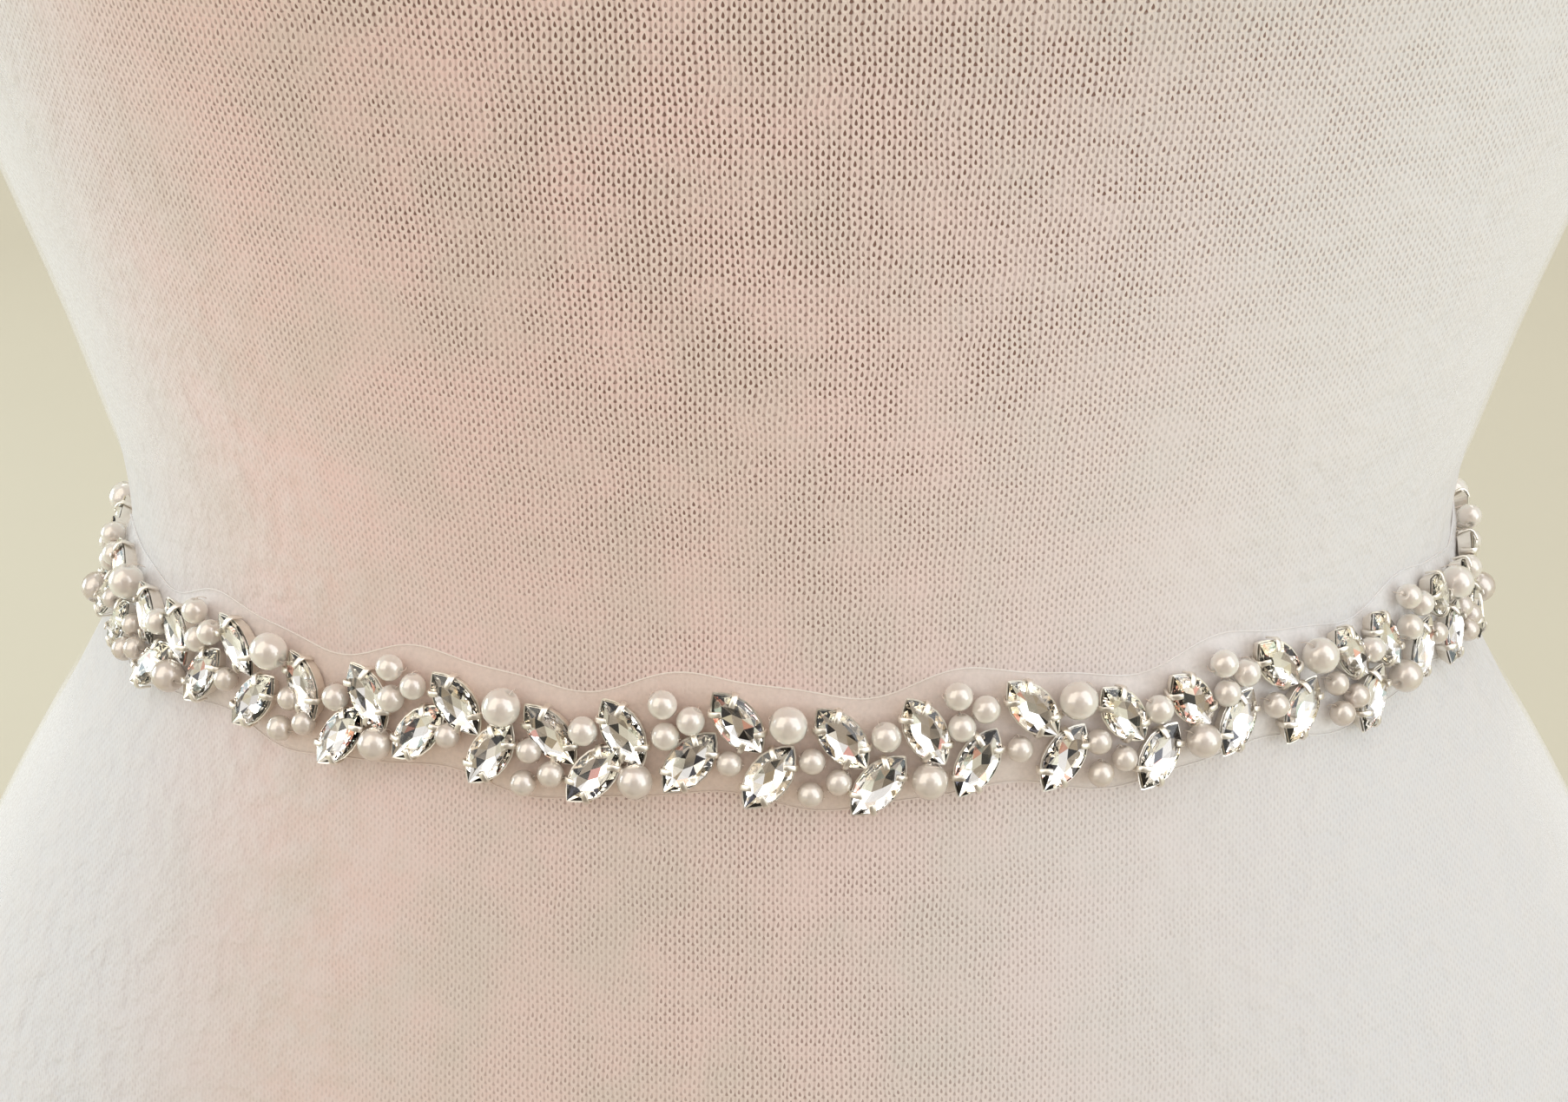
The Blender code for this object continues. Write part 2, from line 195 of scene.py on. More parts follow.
CLAW_STEPS = (
    ClawStep(-0.45, 0.20, 0.50),
    ClawStep(0.10, 1.95, 0.50),
    ClawStep(0.05, 2.30, 0.50),
    ClawStep(-0.28, 2.70, 0.50),
    ClawStep(-0.90, 2.97, 0.50),
    ClawStep(-1.65, 3.16, 0.44),
)
CLAW_THICK = 0.34

# Hooks and eyes: the bends of each wire, in mm past the centre back, up, and out.
WireBend = namedtuple("WireBend", "past up lift")
EYE_HALF = (
    WireBend(5.2, 1.3, 0.0),
    WireBend(3.8, 2.2, 0.0),
    WireBend(1.6, 1.5, 0.0),
    WireBend(0.2, 0.8, 0.0),
)
HOOK = (
    WireBend(-5.6, 0.0, 0.0),
    WireBend(-2.6, 0.0, 0.0),
    WireBend(-0.9, 0.0, -1.2),
    WireBend(0.6, 0.0, -1.2),
    WireBend(1.7, 0.0, -0.5),
    WireBend(1.9, 0.0, 0.5),
    WireBend(1.1, 0.0, 1.2),
    WireBend(-1.4, 0.0, 1.2),
)
HOOK_LEVELS = {"top": 4.0, "bottom": -4.0}
HOOK_WIRE = 0.4
# The stitches over each wire: their middle past the centre back and up from the hook, and half
# their run along the belt and up it, in mm.
Stitch = namedtuple("Stitch", "past up half_run half_rise")
STITCHES = (
    Stitch(-5.2, 0.0, 0.0, 0.9),
    Stitch(-4.3, 0.0, 0.0, 0.9),
    Stitch(-3.4, 0.0, 0.0, 0.9),
    Stitch(4.6, 1.7, 0.5, -0.8),
    Stitch(4.6, -1.7, 0.5, 0.8),
    Stitch(3.4, 2.1, 0.0, 0.8),
    Stitch(3.4, -2.1, 0.0, 0.8),
)

# Painted reflections on a stone's foil back, for the flashes, the dispersed fire and the dark shards it
# mirrors: each colour, and how many facets in a hundred have it.
PAINTED_FLASHES = (
    ((0.98, 0.97, 0.95), 54),
    ((0.80, 0.78, 0.76), 10),
    ((0.55, 0.53, 0.51), 7),
    ((0.04, 0.04, 0.05), 6),
    ((0.84, 0.46, 0.40), 4),
    ((0.66, 0.78, 0.76), 2),
    ((0.94, 0.88, 0.76), 17),
)

# The soft lights round the form: place and size in metres, power in watts.
Lamp = namedtuple("Lamp", "name place wide tall power colour")
LAMPS = (
    Lamp("left_light", (-1.26, 0.31, 0.36), 0.70, 0.70, 4.9, (0.77, 0.94, 0.99)),
    Lamp("right_light", (1.15, -0.65, 0.36), 0.70, 0.70, 3.2, (0.80, 0.95, 1.0)),
    Lamp("back_light", (0.0, 1.0, 1.9), 1.60, 1.00, 8.0, (0.92, 0.97, 1.0)),
)
# A bright arch over the camera that only the pearls, stones and metal mirror. Its angles are
# from the camera's line of sight, and then from straight up to each side. Its middle is shifted
# from the waist's, in metres.
ARCH_DISTANCE = 0.85
ARCH_NEAR = 27.0
ARCH_FAR = 74.0
ARCH_SIDE = 98.0
ARCH_STRENGTH = 2.4
ARCH_SHIFT = (0, -0.09, 0)
# Side view, in metres, of the dark card that the pearls and stones mirror: behind, up.
CARD_BENDS = ((-0.17, 0.03), (-0.42, 0.03), (-0.62, 0.24), (-0.74, 0.56))
CARD_WIDTH = 0.46

# The floor's front edge and its steps backwards and then up into the backdrop, in metres.
FLOOR_SIDE = 4.0
FLOOR_STEPS = ((0, 5.2, 0), (0, 0.35, 0.05), (0, 0.25, 0.2), (0, 0.1, 0.35), (0, 0, 2.6))

# Where the camera stands, seen from its target, and how it leans, in degrees; its target, in
# metres, and the evenly lit world's colour.
CAMERA_YAW, CAMERA_CLIMB, CAMERA_ROLL = 2.11, 20.29, 0.229
CAMERA_TARGET = (-0.0008, 0.0, 0.2321)
WORLD_COLOUR = (1.0, 0.97, 0.94, 1.0)

# The paler colour the cloth takes at both sides, partly from its nap and partly as painted side light,
# and the distances in metres round the waist from the centre front between which it does so more and
# more.
PALE_NAP_AND_SIDE_LIGHT = (0.87, 0.865, 0.88)
PALE_RIGHT = (-0.016, 0.105)
PALE_LEFT = (-0.066, -0.125)

# The cover's raised nap: heights between which it stands, below and above the belt, how far it
# reaches out, over what height it rises to that, and how far it goes in at its rims and inside,
# all in mm.
NAP_BANDS = ((20, 222), (252, 600))
NAP_REACH = 0.95
NAP_RISE = 14
NAP_RIM = 0.1
NAP_INSIDE = -0.8
NAP_STEP = 8
NAP_SIDES = 96

# Size of a knitted stitch, in mm, at each height: the knit is stretched more above the waist.
STITCH_HEIGHTS = (0, 240, 290, 400, 560, 690)
STITCH_SIZES = (1.30, 1.30, 1.38, 1.45, 1.40, 1.25)


# Settings

def colour_property(name, description, default):
    return bpy.props.FloatVectorProperty(
        name=name, description=description, subtype="COLOR", default=default, min=0, max=1)


def length_property(name, description, default):
    return bpy.props.FloatProperty(
        name=name, description=description, subtype="DISTANCE", unit="LENGTH", default=default)


class KnitSettings(bpy.types.PropertyGroup):
    """The dress form's knitted cover."""

    sides: bpy.props.IntProperty(
        name="Sides", description="How many columns of faces go round the form",
        default=144, min=32, max=360)
    ring_step: length_property("Ring step", "Height between two rings of faces", 0.0055)
    yarn: colour_property("Yarn", "Colour of the knitted yarn", (0.99, 0.72, 0.665))
    gap: colour_property("Gap", "Colour seen through the gaps between the loops",
                         (0.24, 0.13, 0.10))


class OrganzaSettings(bpy.types.PropertyGroup):
    """The organza strip."""

    colour: colour_property("Colour", "Colour of the organza", (0.81, 0.655, 0.57))
    cover: bpy.props.FloatProperty(
        name="Cover", description="How much of what lies under it one layer hides",
        default=0.58, min=0, max=1)
    thickness: length_property("Thickness", "Thickness of the cloth", 0.00015)
    edge_radius: length_property("Edge", "Radius of the rolled edge", 0.00012)
    pucker: length_property("Pucker", "How far the stitches pull the cloth in and out", 0.00022)


class BeadSettings(bpy.types.PropertyGroup):
    """The pearls, the stones and their settings."""

    # The pearls' colour in the lower row, painted darker as shade; the upper row is painted lighter
    pearl: colour_property("Pearl", "Body colour of the pearls", (0.61, 0.51, 0.43))
    silver: colour_property("Silver", "Colour of the cups and claws", (0.93, 0.89, 0.82))
    sway: bpy.props.FloatProperty(
        name="Sway", description="How far hand sewing tips and turns each stone",
        default=math.radians(6), subtype="ANGLE", unit="ROTATION")
    seed: bpy.props.IntProperty(
        name="Seed", description="Picks one hand-sewn layout of small differences",
        default=7, min=0)


class RibbonSettings(bpy.types.PropertyGroup):
    """The satin ribbons and the closure at the centre back."""

    colour: colour_property("Colour", "Colour of the satin", (0.80, 0.74, 0.65))
    thickness: length_property("Thickness", "Thickness of the ribbon", 0.00045)
    wire: colour_property("Wire", "Colour of the hooks and eyes", (0.60, 0.60, 0.62))


class StageSettings(bpy.types.PropertyGroup):
    """Floor, lights and camera."""

    floor: colour_property("Floor", "Colour of the floor and backdrop", (0.70, 0.66, 0.535))
    light: bpy.props.FloatProperty(
        name="Lights", description="Share of their full power that the lights give",
        default=1.0, min=0)
    ambient: bpy.props.FloatProperty(
        name="Ambient", description="Strength of the even light all round",
        default=0.86, min=0)
    distance: length_property("Camera distance", "From the camera to what it looks at", 0.4396)
    lens: bpy.props.FloatProperty(
        name="Lens", description="Focal length, in mm, on a 36 mm wide sensor",
        default=55.81, min=10)


class BeltSettings(bpy.types.PropertyGroup):
    """Everything that a user would change."""

    knit: bpy.props.PointerProperty(type=KnitSettings, name="Knitted cover")
    organza: bpy.props.PointerProperty(type=OrganzaSettings, name="Organza")
    beads: bpy.props.PointerProperty(type=BeadSettings, name="Beads")
    ribbon: bpy.props.PointerProperty(type=RibbonSettings, name="Ribbons")
    stage: bpy.props.PointerProperty(type=StageSettings, name="Stage")


# The form's skin and the belt's place on it, in mm

def section_size(height, column):
    """A section's size at any height: a smooth curve through the table's rows."""
    rows = FORM_SECTIONS
    height = min(max(height, rows[0].height), rows[-1].height)
    low = max(i for i in range(len(rows) - 1) if rows[i].height <= height)
    high = low + 1
    span = rows[high].height - rows[low].height
    t = (height - rows[low].height) / span

    def value(i):
        return getattr(rows[i], column)

    def slope(i):
        before, after = max(i - 1, 0), min(i + 1, len(rows) - 1)
        return (value(after) - value(before)) / (rows[after].height - rows[before].height)

    return (
        value(low) * (2 * t**3 - 3 * t**2 + 1)
        + value(high) * (3 * t**2 - 2 * t**3)
        + slope(low) * span * (t**3 - 2 * t**2 + t)
        + slope(high) * span * (t**3 - t**2)
    )


def form_point(angle, height, inset=0.0):
    """A point of the form's skin. Angle 0 is the centre front, and it turns towards +X."""
    power = 2 / section_size(height, "squareness")
    sine, cosine = math.sin(angle), math.cos(angle)
    half_width = section_size(height, "half_width") - inset
    depth = section_size(height, "front" if cosine > 0 else "back") - inset
    x = half_width * math.copysign(abs(sine) ** power, sine)
    y = -depth * math.copysign(abs(cosine) ** power, cosine)
    if cosine > 0:
        aside = (abs(x) - BUST_SPREAD) / BUST_WIDE
        above = (height - BUST_HEIGHT) / BUST_TALL
        y -= BUST_DEPTH * cosine * math.exp(-0.5 * (aside**2 + above**2))
    return Vector((x, y, height))


def form_normal(angle, height):
    """The outward direction of the form's skin."""
    turn, rise = 0.001, 0.1
    around = form_point(angle + turn, height) - form_point(angle - turn, height)
    upward = form_point(angle, height + rise) - form_point(angle, height - rise)
    return around.cross(upward).normalized()


def girth_table():
    """Distances round the middle of the cloth from the centre front, and their angles."""
    angles = np.linspace(-math.pi, math.pi, 1441)
    out = CLEARANCE + CLOTH / 2
    points = [form_point(a, WAIST_HEIGHT) + form_normal(a, WAIST_HEIGHT) * out for a in angles]
    steps = [(q - p).length for p, q in zip(points, points[1:])]
    along = np.concatenate([[0.0], np.cumsum(steps)])
    return along - along[-1] / 2, angles


ALONG, ANGLES = girth_table()
HALF_GIRTH = float(ALONG[-1])
STRIP_START_ALONG = STRIP_END + (FIRST_REPEAT - 1) * REPEAT
STRIP_END_ALONG = STRIP_START_ALONG + REPEATS * REPEAT


def on_form(along, up, out):
    """A point of the belt: its distance along it, up from its middle, and out from the skin."""
    along = (along + HALF_GIRTH) % (2 * HALF_GIRTH) - HALF_GIRTH
    angle = float(np.interp(along, ALONG, ANGLES))
    level = WAIST_HEIGHT + BELT_TILT * math.sin(angle) + BELT_RISE * (1 - math.cos(angle))
    return form_point(angle, level + up) + form_normal(angle, level + up) * out


def place_on_belt(along, up, out):
    """Where a bead sits: x runs along the belt, y up it and z out of it."""
    origin = on_form(along, up, out)
    outward = (on_form(along, up, out + 1) - origin).normalized()
    forward = (on_form(along + 0.5, up, out) - on_form(along - 0.5, up, out)).normalized()
    upward = outward.cross(forward).normalized()
    turned = Matrix((upward.cross(outward), upward, outward)).transposed().to_4x4()
    return Matrix.Translation(origin) @ turned


def edge_reach(along, reach, wave, crest):
    """How far the organza reaches past the belt's middle: a wave that climbs slowly."""
    turn = 2 * math.pi * (along - crest) / REPEAT
    return reach + wave * (math.cos(turn) - EDGE_SKEW * math.sin(2 * turn))


def top_edge(along):
    return edge_reach(along, TOP_REACH, TOP_WAVE, TOP_CREST)


def bottom_edge(along):
    return -edge_reach(along, BOTTOM_REACH, BOTTOM_WAVE, BOTTOM_CREST)


def ease(value, low, high):
    """A smooth step from 0 at low to 1 at high."""
    t = min(max((value - low) / (high - low), 0.0), 1.0)
    return t * t * (3 - 2 * t)


# Node helpers

def rgba(colour):
    return (*colour[:3], 1.0)


class Tree:
    """Adds nodes to one node tree and links them. A value may be a number, a colour or a socket."""

    def __init__(self, tree):
        self.tree = tree

    def put(self, socket, value):
        if isinstance(value, bpy.types.NodeSocket):
            self.tree.links.new(value, socket)
        elif value is not None:
            socket.default_value = rgba(value) if socket.type == "RGBA" else value

    def add(self, kind, inputs=(), **settings):
        node = self.tree.nodes.new("ShaderNode" + kind)
        for name, value in settings.items():
            setattr(node, name, value)
        pairs = inputs.items() if isinstance(inputs, dict) else enumerate(inputs)
        for name, value in pairs:
            self.put(node.inputs[name], value)
        return node

    def math(self, operation, *values, clamp=False):
        return self.add("Math", values, operation=operation, use_clamp=clamp).outputs[0]

    def plus(self, first, second):
        return self.math("ADD", first, second)

    def minus(self, first, second):
        return self.math("SUBTRACT", first, second)

    def times(self, first, second, clamp=False):
        return self.math("MULTIPLY", first, second, clamp=clamp)

    def step(self, value, low, high, start=0.0, end=1.0):
        """A smooth step from start to end as value goes from low to high."""
        inputs = (value, low, high, start, end)
        return self.add("MapRange", inputs, interpolation_type="SMOOTHSTEP").outputs[0]

    def blend(self, share, first, second, mode="MIX"):
        node = self.add("Mix", data_type="RGBA", blend_type=mode)
        for name, value in (("Factor_Float", share), ("A_Color", first), ("B_Color", second)):
            self.put(next(s for s in node.inputs if s.identifier == name), value)
        return next(s for s in node.outputs if s.identifier == "Result_Color")

    def noise(self, vector, scale, detail=2.0, roughness=0.5):
        inputs = {"Vector": vector, "Scale": scale, "Detail": detail, "Roughness": roughness}
        return self.add("TexNoise", inputs).outputs[0]

    def stretched(self, vector, scale):
        """Coordinates scaled by their own amount each way."""
        node = self.add("Mapping", [vector])
        node.inputs["Scale"].default_value = scale
        return node.outputs[0]

    def group(self, name, **inputs):
        """The outputs of a shared effect."""
        node = self.tree.nodes.new("ShaderNodeGroup")
        node.node_tree = bpy.data.node_groups[name]
        for key, value in inputs.items():
            self.put(node.inputs[key.capitalize()], value)
        return node.outputs

    def drift(self, vector, colour, second, scale, amount):
        """A colour that drifts slowly into a second one."""
        return self.group("colour_drift", vector=vector, colour=colour, second=second,
                          scale=scale, amount=amount)["Colour"]

    def marks(self, vector, scale, smooth, rough):
        """The roughness and the height of what handling leaves on a smooth surface."""
        return self.group("handling_marks", vector=vector, scale=scale, smooth=smooth, rough=rough)

    def pale_sides(self, along):
        return self.group("pale_sides", along=along)["Share"]

    def coordinates(self, kind="Object"):
        return self.add("TexCoord").outputs[kind]

    def split(self, vector):
        return self.add("SeparateXYZ", [vector]).outputs

    def facing(self):
        """0 where the surface is looked straight into, and 1 where it is seen edge on."""
        return self.add("LayerWeight", {"Blend": 0.5}).outputs["Facing"]


def new_group(name, inputs, outputs):
    """A node group with named sockets. Returns its tree, and its input sockets by name."""
    group = bpy.data.node_groups.new(name, "ShaderNodeTree")
    for socket, (kind, value) in inputs.items():
        made = group.interface.new_socket(socket, in_out="INPUT", socket_type="NodeSocket" + kind)
        if value is not None:
            made.default_value = value
    for socket, kind in outputs.items():
        group.interface.new_socket(socket, in_out="OUTPUT", socket_type="NodeSocket" + kind)
    start = group.nodes.new("NodeGroupInput").outputs
    end = group.nodes.new("NodeGroupOutput").inputs
    return Tree(group), start, end


def knit_group():
    """Loops of a knitted tube, one stitch to a unit: the gaps between them, the bright yarn
    round each gap, and their relief."""
    tree, start, end = new_group(
        "knitted_loops", {"Vector": ("Vector", None), "Strength": ("Float", 1.0)},
        {"Gap": "Float", "Rim": "Float", "Height": "Float"})
    vector = start["Vector"]
    wander = tree.times(tree.minus(tree.noise(vector, 0.22, 1.0), 0.5), 0.8)
    across, upward = (tree.plus(part, wander) for part in tree.split(vector)[:2])

    def cell(shift_across, shift_up):
        x = tree.minus(tree.math("FRACT", tree.plus(across, shift_across)), 0.5)
        y = tree.minus(tree.math("FRACT", tree.plus(upward, shift_up)), 0.5)
        return tree.math("ABSOLUTE", x), y

    def drop(x, y, width, taper, tall):
        """How far out of a drop that narrows upwards: 1 at its outline."""
        wide = tree.math("MAXIMUM", tree.math("MULTIPLY_ADD", y, -taper, width), 0.02)
        return tree.plus(tree.math("POWER", tree.math("DIVIDE", x, wide), 2.0),
                         tree.math("POWER", tree.math("DIVIDE", y, tall), 2.0))

    x, y = cell(0.0, 0.0)
    loop = drop(x, y, width=0.135, taper=0.22, tall=0.31)
    loop_gap = tree.step(loop, 0.5, 1.2, 1.0, 0.0)
    side_x, side_y = cell(0.5, 0.38)
    side = drop(side_x, side_y, width=0.145, taper=0.50, tall=0.29)
    side_gap = tree.step(side, 0.4, 1.25, 1.0, 0.0)
    groove = tree.step(side_x, 0.0, 0.17, 0.34, 0.0)
    gap = tree.math("MAXIMUM", tree.math("MAXIMUM", loop_gap, side_gap), groove)
    leg = tree.step(tree.math("ABSOLUTE", tree.minus(x, 0.27)), 0.0, 0.22, 1.0, 0.0)
    ring = tree.times(tree.step(loop, 1.1, 1.6), tree.step(loop, 2.4, 4.8, 1.0, 0.0))
    tree.put(end["Rim"], tree.times(ring, start["Strength"], clamp=True))
    tree.put(end["Gap"], tree.times(gap, start["Strength"], clamp=True))
    tree.put(end["Height"], tree.math("MULTIPLY_ADD", gap, -1.0, tree.times(leg, 0.45)))


def weave_group():
    """A plain weave, in metres: its threads' relief."""
    tree, start, end = new_group(
        "plain_weave", {"Vector": ("Vector", None), "Pitch": ("Float", 0.0002),
                        "Slub": ("Float", 0.3)},
        {"Height": "Float", "Slub": "Float"})
    scaled = tree.add("VectorMath", operation="SCALE")
    tree.put(scaled.inputs[0], start["Vector"])
    tree.put(scaled.inputs["Scale"], tree.math("DIVIDE", 2 * math.pi, start["Pitch"]))
    warp, weft = (tree.math("SINE", part) for part in tree.split(scaled.outputs[0])[:2])
    slub = tree.noise(start["Vector"], 900.0, 3.0)
    tree.put(end["Height"], tree.plus(tree.times(warp, weft), tree.times(slub, start["Slub"])))
    tree.put(end["Slub"], slub)


def drift_group():
    """Slow drifts of colour over a surface, as dye, dust and handling leave them."""
    tree, start, end = new_group(
        "colour_drift", {"Vector": ("Vector", None), "Colour": ("Color", (0.8, 0.8, 0.8, 1.0)),
                         "Second": ("Color", (0.6, 0.6, 0.6, 1.0)), "Scale": ("Float", 40.0),
                         "Amount": ("Float", 0.3)},
        {"Colour": "Color"})
    mask = tree.step(tree.noise(start["Vector"], start["Scale"], 4.0, 0.6), 0.35, 0.7)
    share = tree.times(mask, start["Amount"])
    tree.put(end["Colour"], tree.blend(share, start["Colour"], start["Second"]))


def pale_sides_group():
    """How pale the cloth is painted at a distance round the waist from the centre front: partly the
    knit's nap, partly painted side light.
    """
    tree, start, end = new_group("pale_sides", {"Along": ("Float", 0.0)}, {"Share": "Float"})
    right, left = (tree.step(start["Along"], *reach) for reach in (PALE_RIGHT, PALE_LEFT))
    tree.put(end["Share"], tree.math("MAXIMUM", right, left))


def handling_group():
    """Fine scratches and smears of a handled smooth surface, as a roughness."""
    tree, start, end = new_group(
        "handling_marks", {"Vector": ("Vector", None), "Scale": ("Float", 1500.0),
                           "Smooth": ("Float", 0.1), "Rough": ("Float", 0.3)},
        {"Roughness": "Float", "Height": "Float"})
    marks = tree.noise(start["Vector"], start["Scale"], 3.0, 0.65)
    tree.put(end["Roughness"], tree.step(marks, 0.3, 0.75, start["Smooth"], start["Rough"]))
    tree.put(end["Height"], marks)


def make_groups():
    for build in (knit_group, weave_group, drift_group, pale_sides_group, handling_group):
        build()


def new_material(name, **sockets):
    """A material with a Principled shader whose plain values are set on its own sockets."""
    material = bpy.data.materials.new(name)
    material.use_nodes = True
    shader = material.node_tree.nodes["Principled BSDF"]
    for socket, value in sockets.items():
        shader.inputs[socket.replace("_", " ")].default_value = value
    return material, Tree(material.node_tree), shader.inputs


def add_bump(tree, sockets, height, strength, distance, under=None):
    bump = tree.add("Bump", {"Height": height, "Strength": strength, "Distance": distance,
                             "Normal": under})
    tree.put(sockets["Normal"], bump.outputs[0])


def knit_material(settings):
    """The cover's knit. A pale nap hides its loops in patches, and most towards the sides, where painted
    side light also pales it.
    """
    material, tree, sockets = new_material(
        "knitted_cover", Roughness=0.85, Sheen_Weight=0.35, Sheen_Roughness=0.55,
        Sheen_Tint=(1.0, 0.99, 0.98, 1.0), Specular_IOR_Level=0.15)
    place, body = tree.coordinates("UV"), tree.coordinates()
    stitches, level = tree.split(place), tree.split(body)[2]

    # How bare of nap the knit is, in patches and combed streaks, and how much its loops show: less
    # towards the sides, where nap and painted side light wash them out, and less below the waist
    patches = tree.noise(body, 75.0, 3.0, 0.62)
    combed = tree.noise(tree.stretched(body, (60.0, 60.0, 420.0)), 1.0, 2.0, 0.6)
    bare = tree.plus(patches, tree.times(tree.minus(combed, 0.5), 0.3))
    spread = tree.times(tree.math("ABSOLUTE", stitches[0]),
                        tree.step(level, 0.235, 0.33, 1.55, 1.0))
    loops_showing = tree.times(tree.step(spread, 4.0, 100.0, 1.0, 0.20),
                      tree.step(level, 0.225, 0.335, 0.58, 1.10))
    stitch = tree.add("VectorMath", [place], operation="FLOOR").outputs[0]
    varied = tree.math("MULTIPLY_ADD", tree.add("TexWhiteNoise", [stitch]).outputs[0], 0.45, 0.72)
    strength = tree.times(tree.times(loops_showing, varied), tree.step(bare, 0.32, 0.58, 0.62, 1.1))
    knit = tree.group("knitted_loops", vector=place, strength=strength)

    # The yarn: a little less pink below the waist, and paler at both sides, partly from nap and partly
    # as painted side light
    yarn = tree.drift(body, settings.yarn, (0.80, 0.685, 0.60), 60.0, 0.6)
    cooler = tree.blend(tree.step(level, 0.19, 0.28), (0.958, 1.015, 0.985), (1.0, 1.0, 1.0))
    yarn = tree.blend(1.0, yarn, cooler, "MULTIPLY")
    along = tree.times(stitches[0], STITCH_SIZES[0] * MM)
    pale = tree.blend(tree.pale_sides(along), yarn, PALE_NAP_AND_SIDE_LIGHT)

    # Tufts of raised nap, flecks of loose fibre, and bright yarn round each gap
    fuzz = tree.noise(body, 2600.0, 2.0, 0.7)
    tufts = tree.noise(body, 210.0, 3.0, 0.55)
    napped = tree.step(spread, 36.0, 90.0)
    raised = tree.times(napped, tree.step(tufts, 0.38, 0.66, 0.0, 0.26))
    pale = tree.blend(raised, pale, (0.95, 0.90, 0.87))
    fleck = tree.times(tree.step(fuzz, 0.35, 0.7), tree.math("MULTIPLY_ADD", napped, 0.10, 0.12))
    flecked = tree.blend(fleck, pale, (0.95, 0.87, 0.82))
    rim = tree.blend(tree.times(knit["Rim"], 0.7), flecked, (1.0, 0.86, 0.78))
    knitted = tree.blend(knit["Gap"], rim, settings.gap)
    # Painted shade: the cloth is darkened below the waist, to tone down the light falling on the hips
    painted_hip_shade = tree.step(level, 0.20, 0.30, 0.90, 0.99)
    tree.put(sockets["Base Color"], tree.blend(1.0, knitted, painted_hip_shade, "MULTIPLY"))
    tufted = tree.add("Bump", {"Height": tufts, "Strength": tree.times(napped, 0.8),
                               "Distance": 0.0014})
    height = tree.plus(knit["Height"], tree.times(fuzz, 0.55))
    add_bump(tree, sockets, height, tree.times(loops_showing, 0.6), 0.00022, tufted.outputs[0])
    return material


def nap_material():
    """Loose fibres: a haze that shows only where it is seen edge on, and thins out at its rim."""
    material, tree, sockets = new_material(
        "raised_nap", Roughness=0.9, Sheen_Weight=0.4, Sheen_Roughness=0.6,
        Specular_IOR_Level=0.1)
    body, facing = tree.coordinates(), tree.facing()
    tree.put(sockets["Base Color"],
             tree.drift(body, (0.90, 0.89, 0.89), (0.86, 0.83, 0.81), 90.0, 0.5))
    fibres = tree.step(tree.noise(body, 1500.0, 2.0, 0.65), 0.3, 0.7, 0.65, 1.0)
    haze = tree.times(tree.step(facing, 0.50, 0.86, 0.0, 0.80),
                      tree.step(facing, 0.90, 0.99, 1.0, 0.0))
    behind = tree.add("NewGeometry").outputs["Backfacing"]
    haze = tree.times(haze, tree.minus(1.0, behind))
    level = tree.split(body)[2]
    stands = 0.0
    for low, high in NAP_BANDS:
        above = tree.step(level, (low + 4) * MM, (low + 16) * MM)
        below = tree.step(level, (high - 4) * MM, (high - 16) * MM)
        stands = tree.plus(stands, tree.times(above, below))
    tree.put(sockets["Alpha"], tree.times(tree.times(haze, stands), fibres))
    return material


def organza_material(settings):
    """Sheer organza: a fine weave with a soft sheen, which hides most of the knit under it."""
    material, tree, sockets = new_material(
        "organza", Roughness=0.5, Sheen_Weight=0.3, Sheen_Roughness=0.35,
        Specular_IOR_Level=0.35)
    place = tree.coordinates("UV")
    weave = tree.group("plain_weave", vector=place, pitch=0.00022, slub=0.5)
    # Painted side light: the organza is painted paler towards both sides
    sides = tree.times(tree.pale_sides(tree.split(place)[0]), 0.85)
    drift = tree.drift(place, settings.colour, (0.85, 0.715, 0.63), 120.0, 0.6)
    tree.put(sockets["Base Color"], tree.blend(sides, drift, PALE_NAP_AND_SIDE_LIGHT))
    tree.put(sockets["Alpha"], tree.step(weave["Slub"], 0.2, 0.8,
                                         settings.cover - 0.08, settings.cover + 0.1))
    add_bump(tree, sockets, weave["Height"], 0.25, 0.00004)
    return material


def hem_material():
    """The organza's edge, rolled tight and closely stitched. Along the top it is painted brighter than
    the cloth, as light from above; along the bottom it has nearly the organza's colour.
    """
    material, tree, sockets = new_material(
        "rolled_hem", Roughness=0.45, Sheen_Weight=0.3, Sheen_Roughness=0.3)
    body = tree.coordinates()
    aside, _, level = tree.split(body)
    # Painted light: the top hem brighter, the bottom hem nearly the organza's colour
    lit = tree.blend(tree.step(level, 0.230, 0.238), (0.82, 0.66, 0.58), (0.96, 0.87, 0.78))
    # Painted side light: the hem is painted paler towards both sides
    hem = tree.blend(tree.pale_sides(tree.times(aside, 1.1)), lit, PALE_NAP_AND_SIDE_LIGHT)
    tree.put(sockets["Base Color"], tree.drift(body, hem, (0.90, 0.76, 0.66), 260.0, 0.4))
    add_bump(tree, sockets, tree.noise(body, 2500.0, 2.0), 0.3, 0.00003)
    return material


def thread_material():
    """Matt cotton thread, twisted. The pearls' threads and the closure's stitches share it."""
    if "thread" in bpy.data.materials:
        return bpy.data.materials["thread"]
    material, tree, sockets = new_material(
        "thread", Roughness=0.65, Sheen_Weight=0.2, Sheen_Roughness=0.4)
    body = tree.coordinates()
    tree.put(sockets["Base Color"],
             tree.drift(body, (0.93, 0.82, 0.72), (0.84, 0.71, 0.61), 300.0, 0.5))
    add_bump(tree, sockets, tree.noise(body, 4000.0, 2.0), 0.5, 0.00005)
    return material


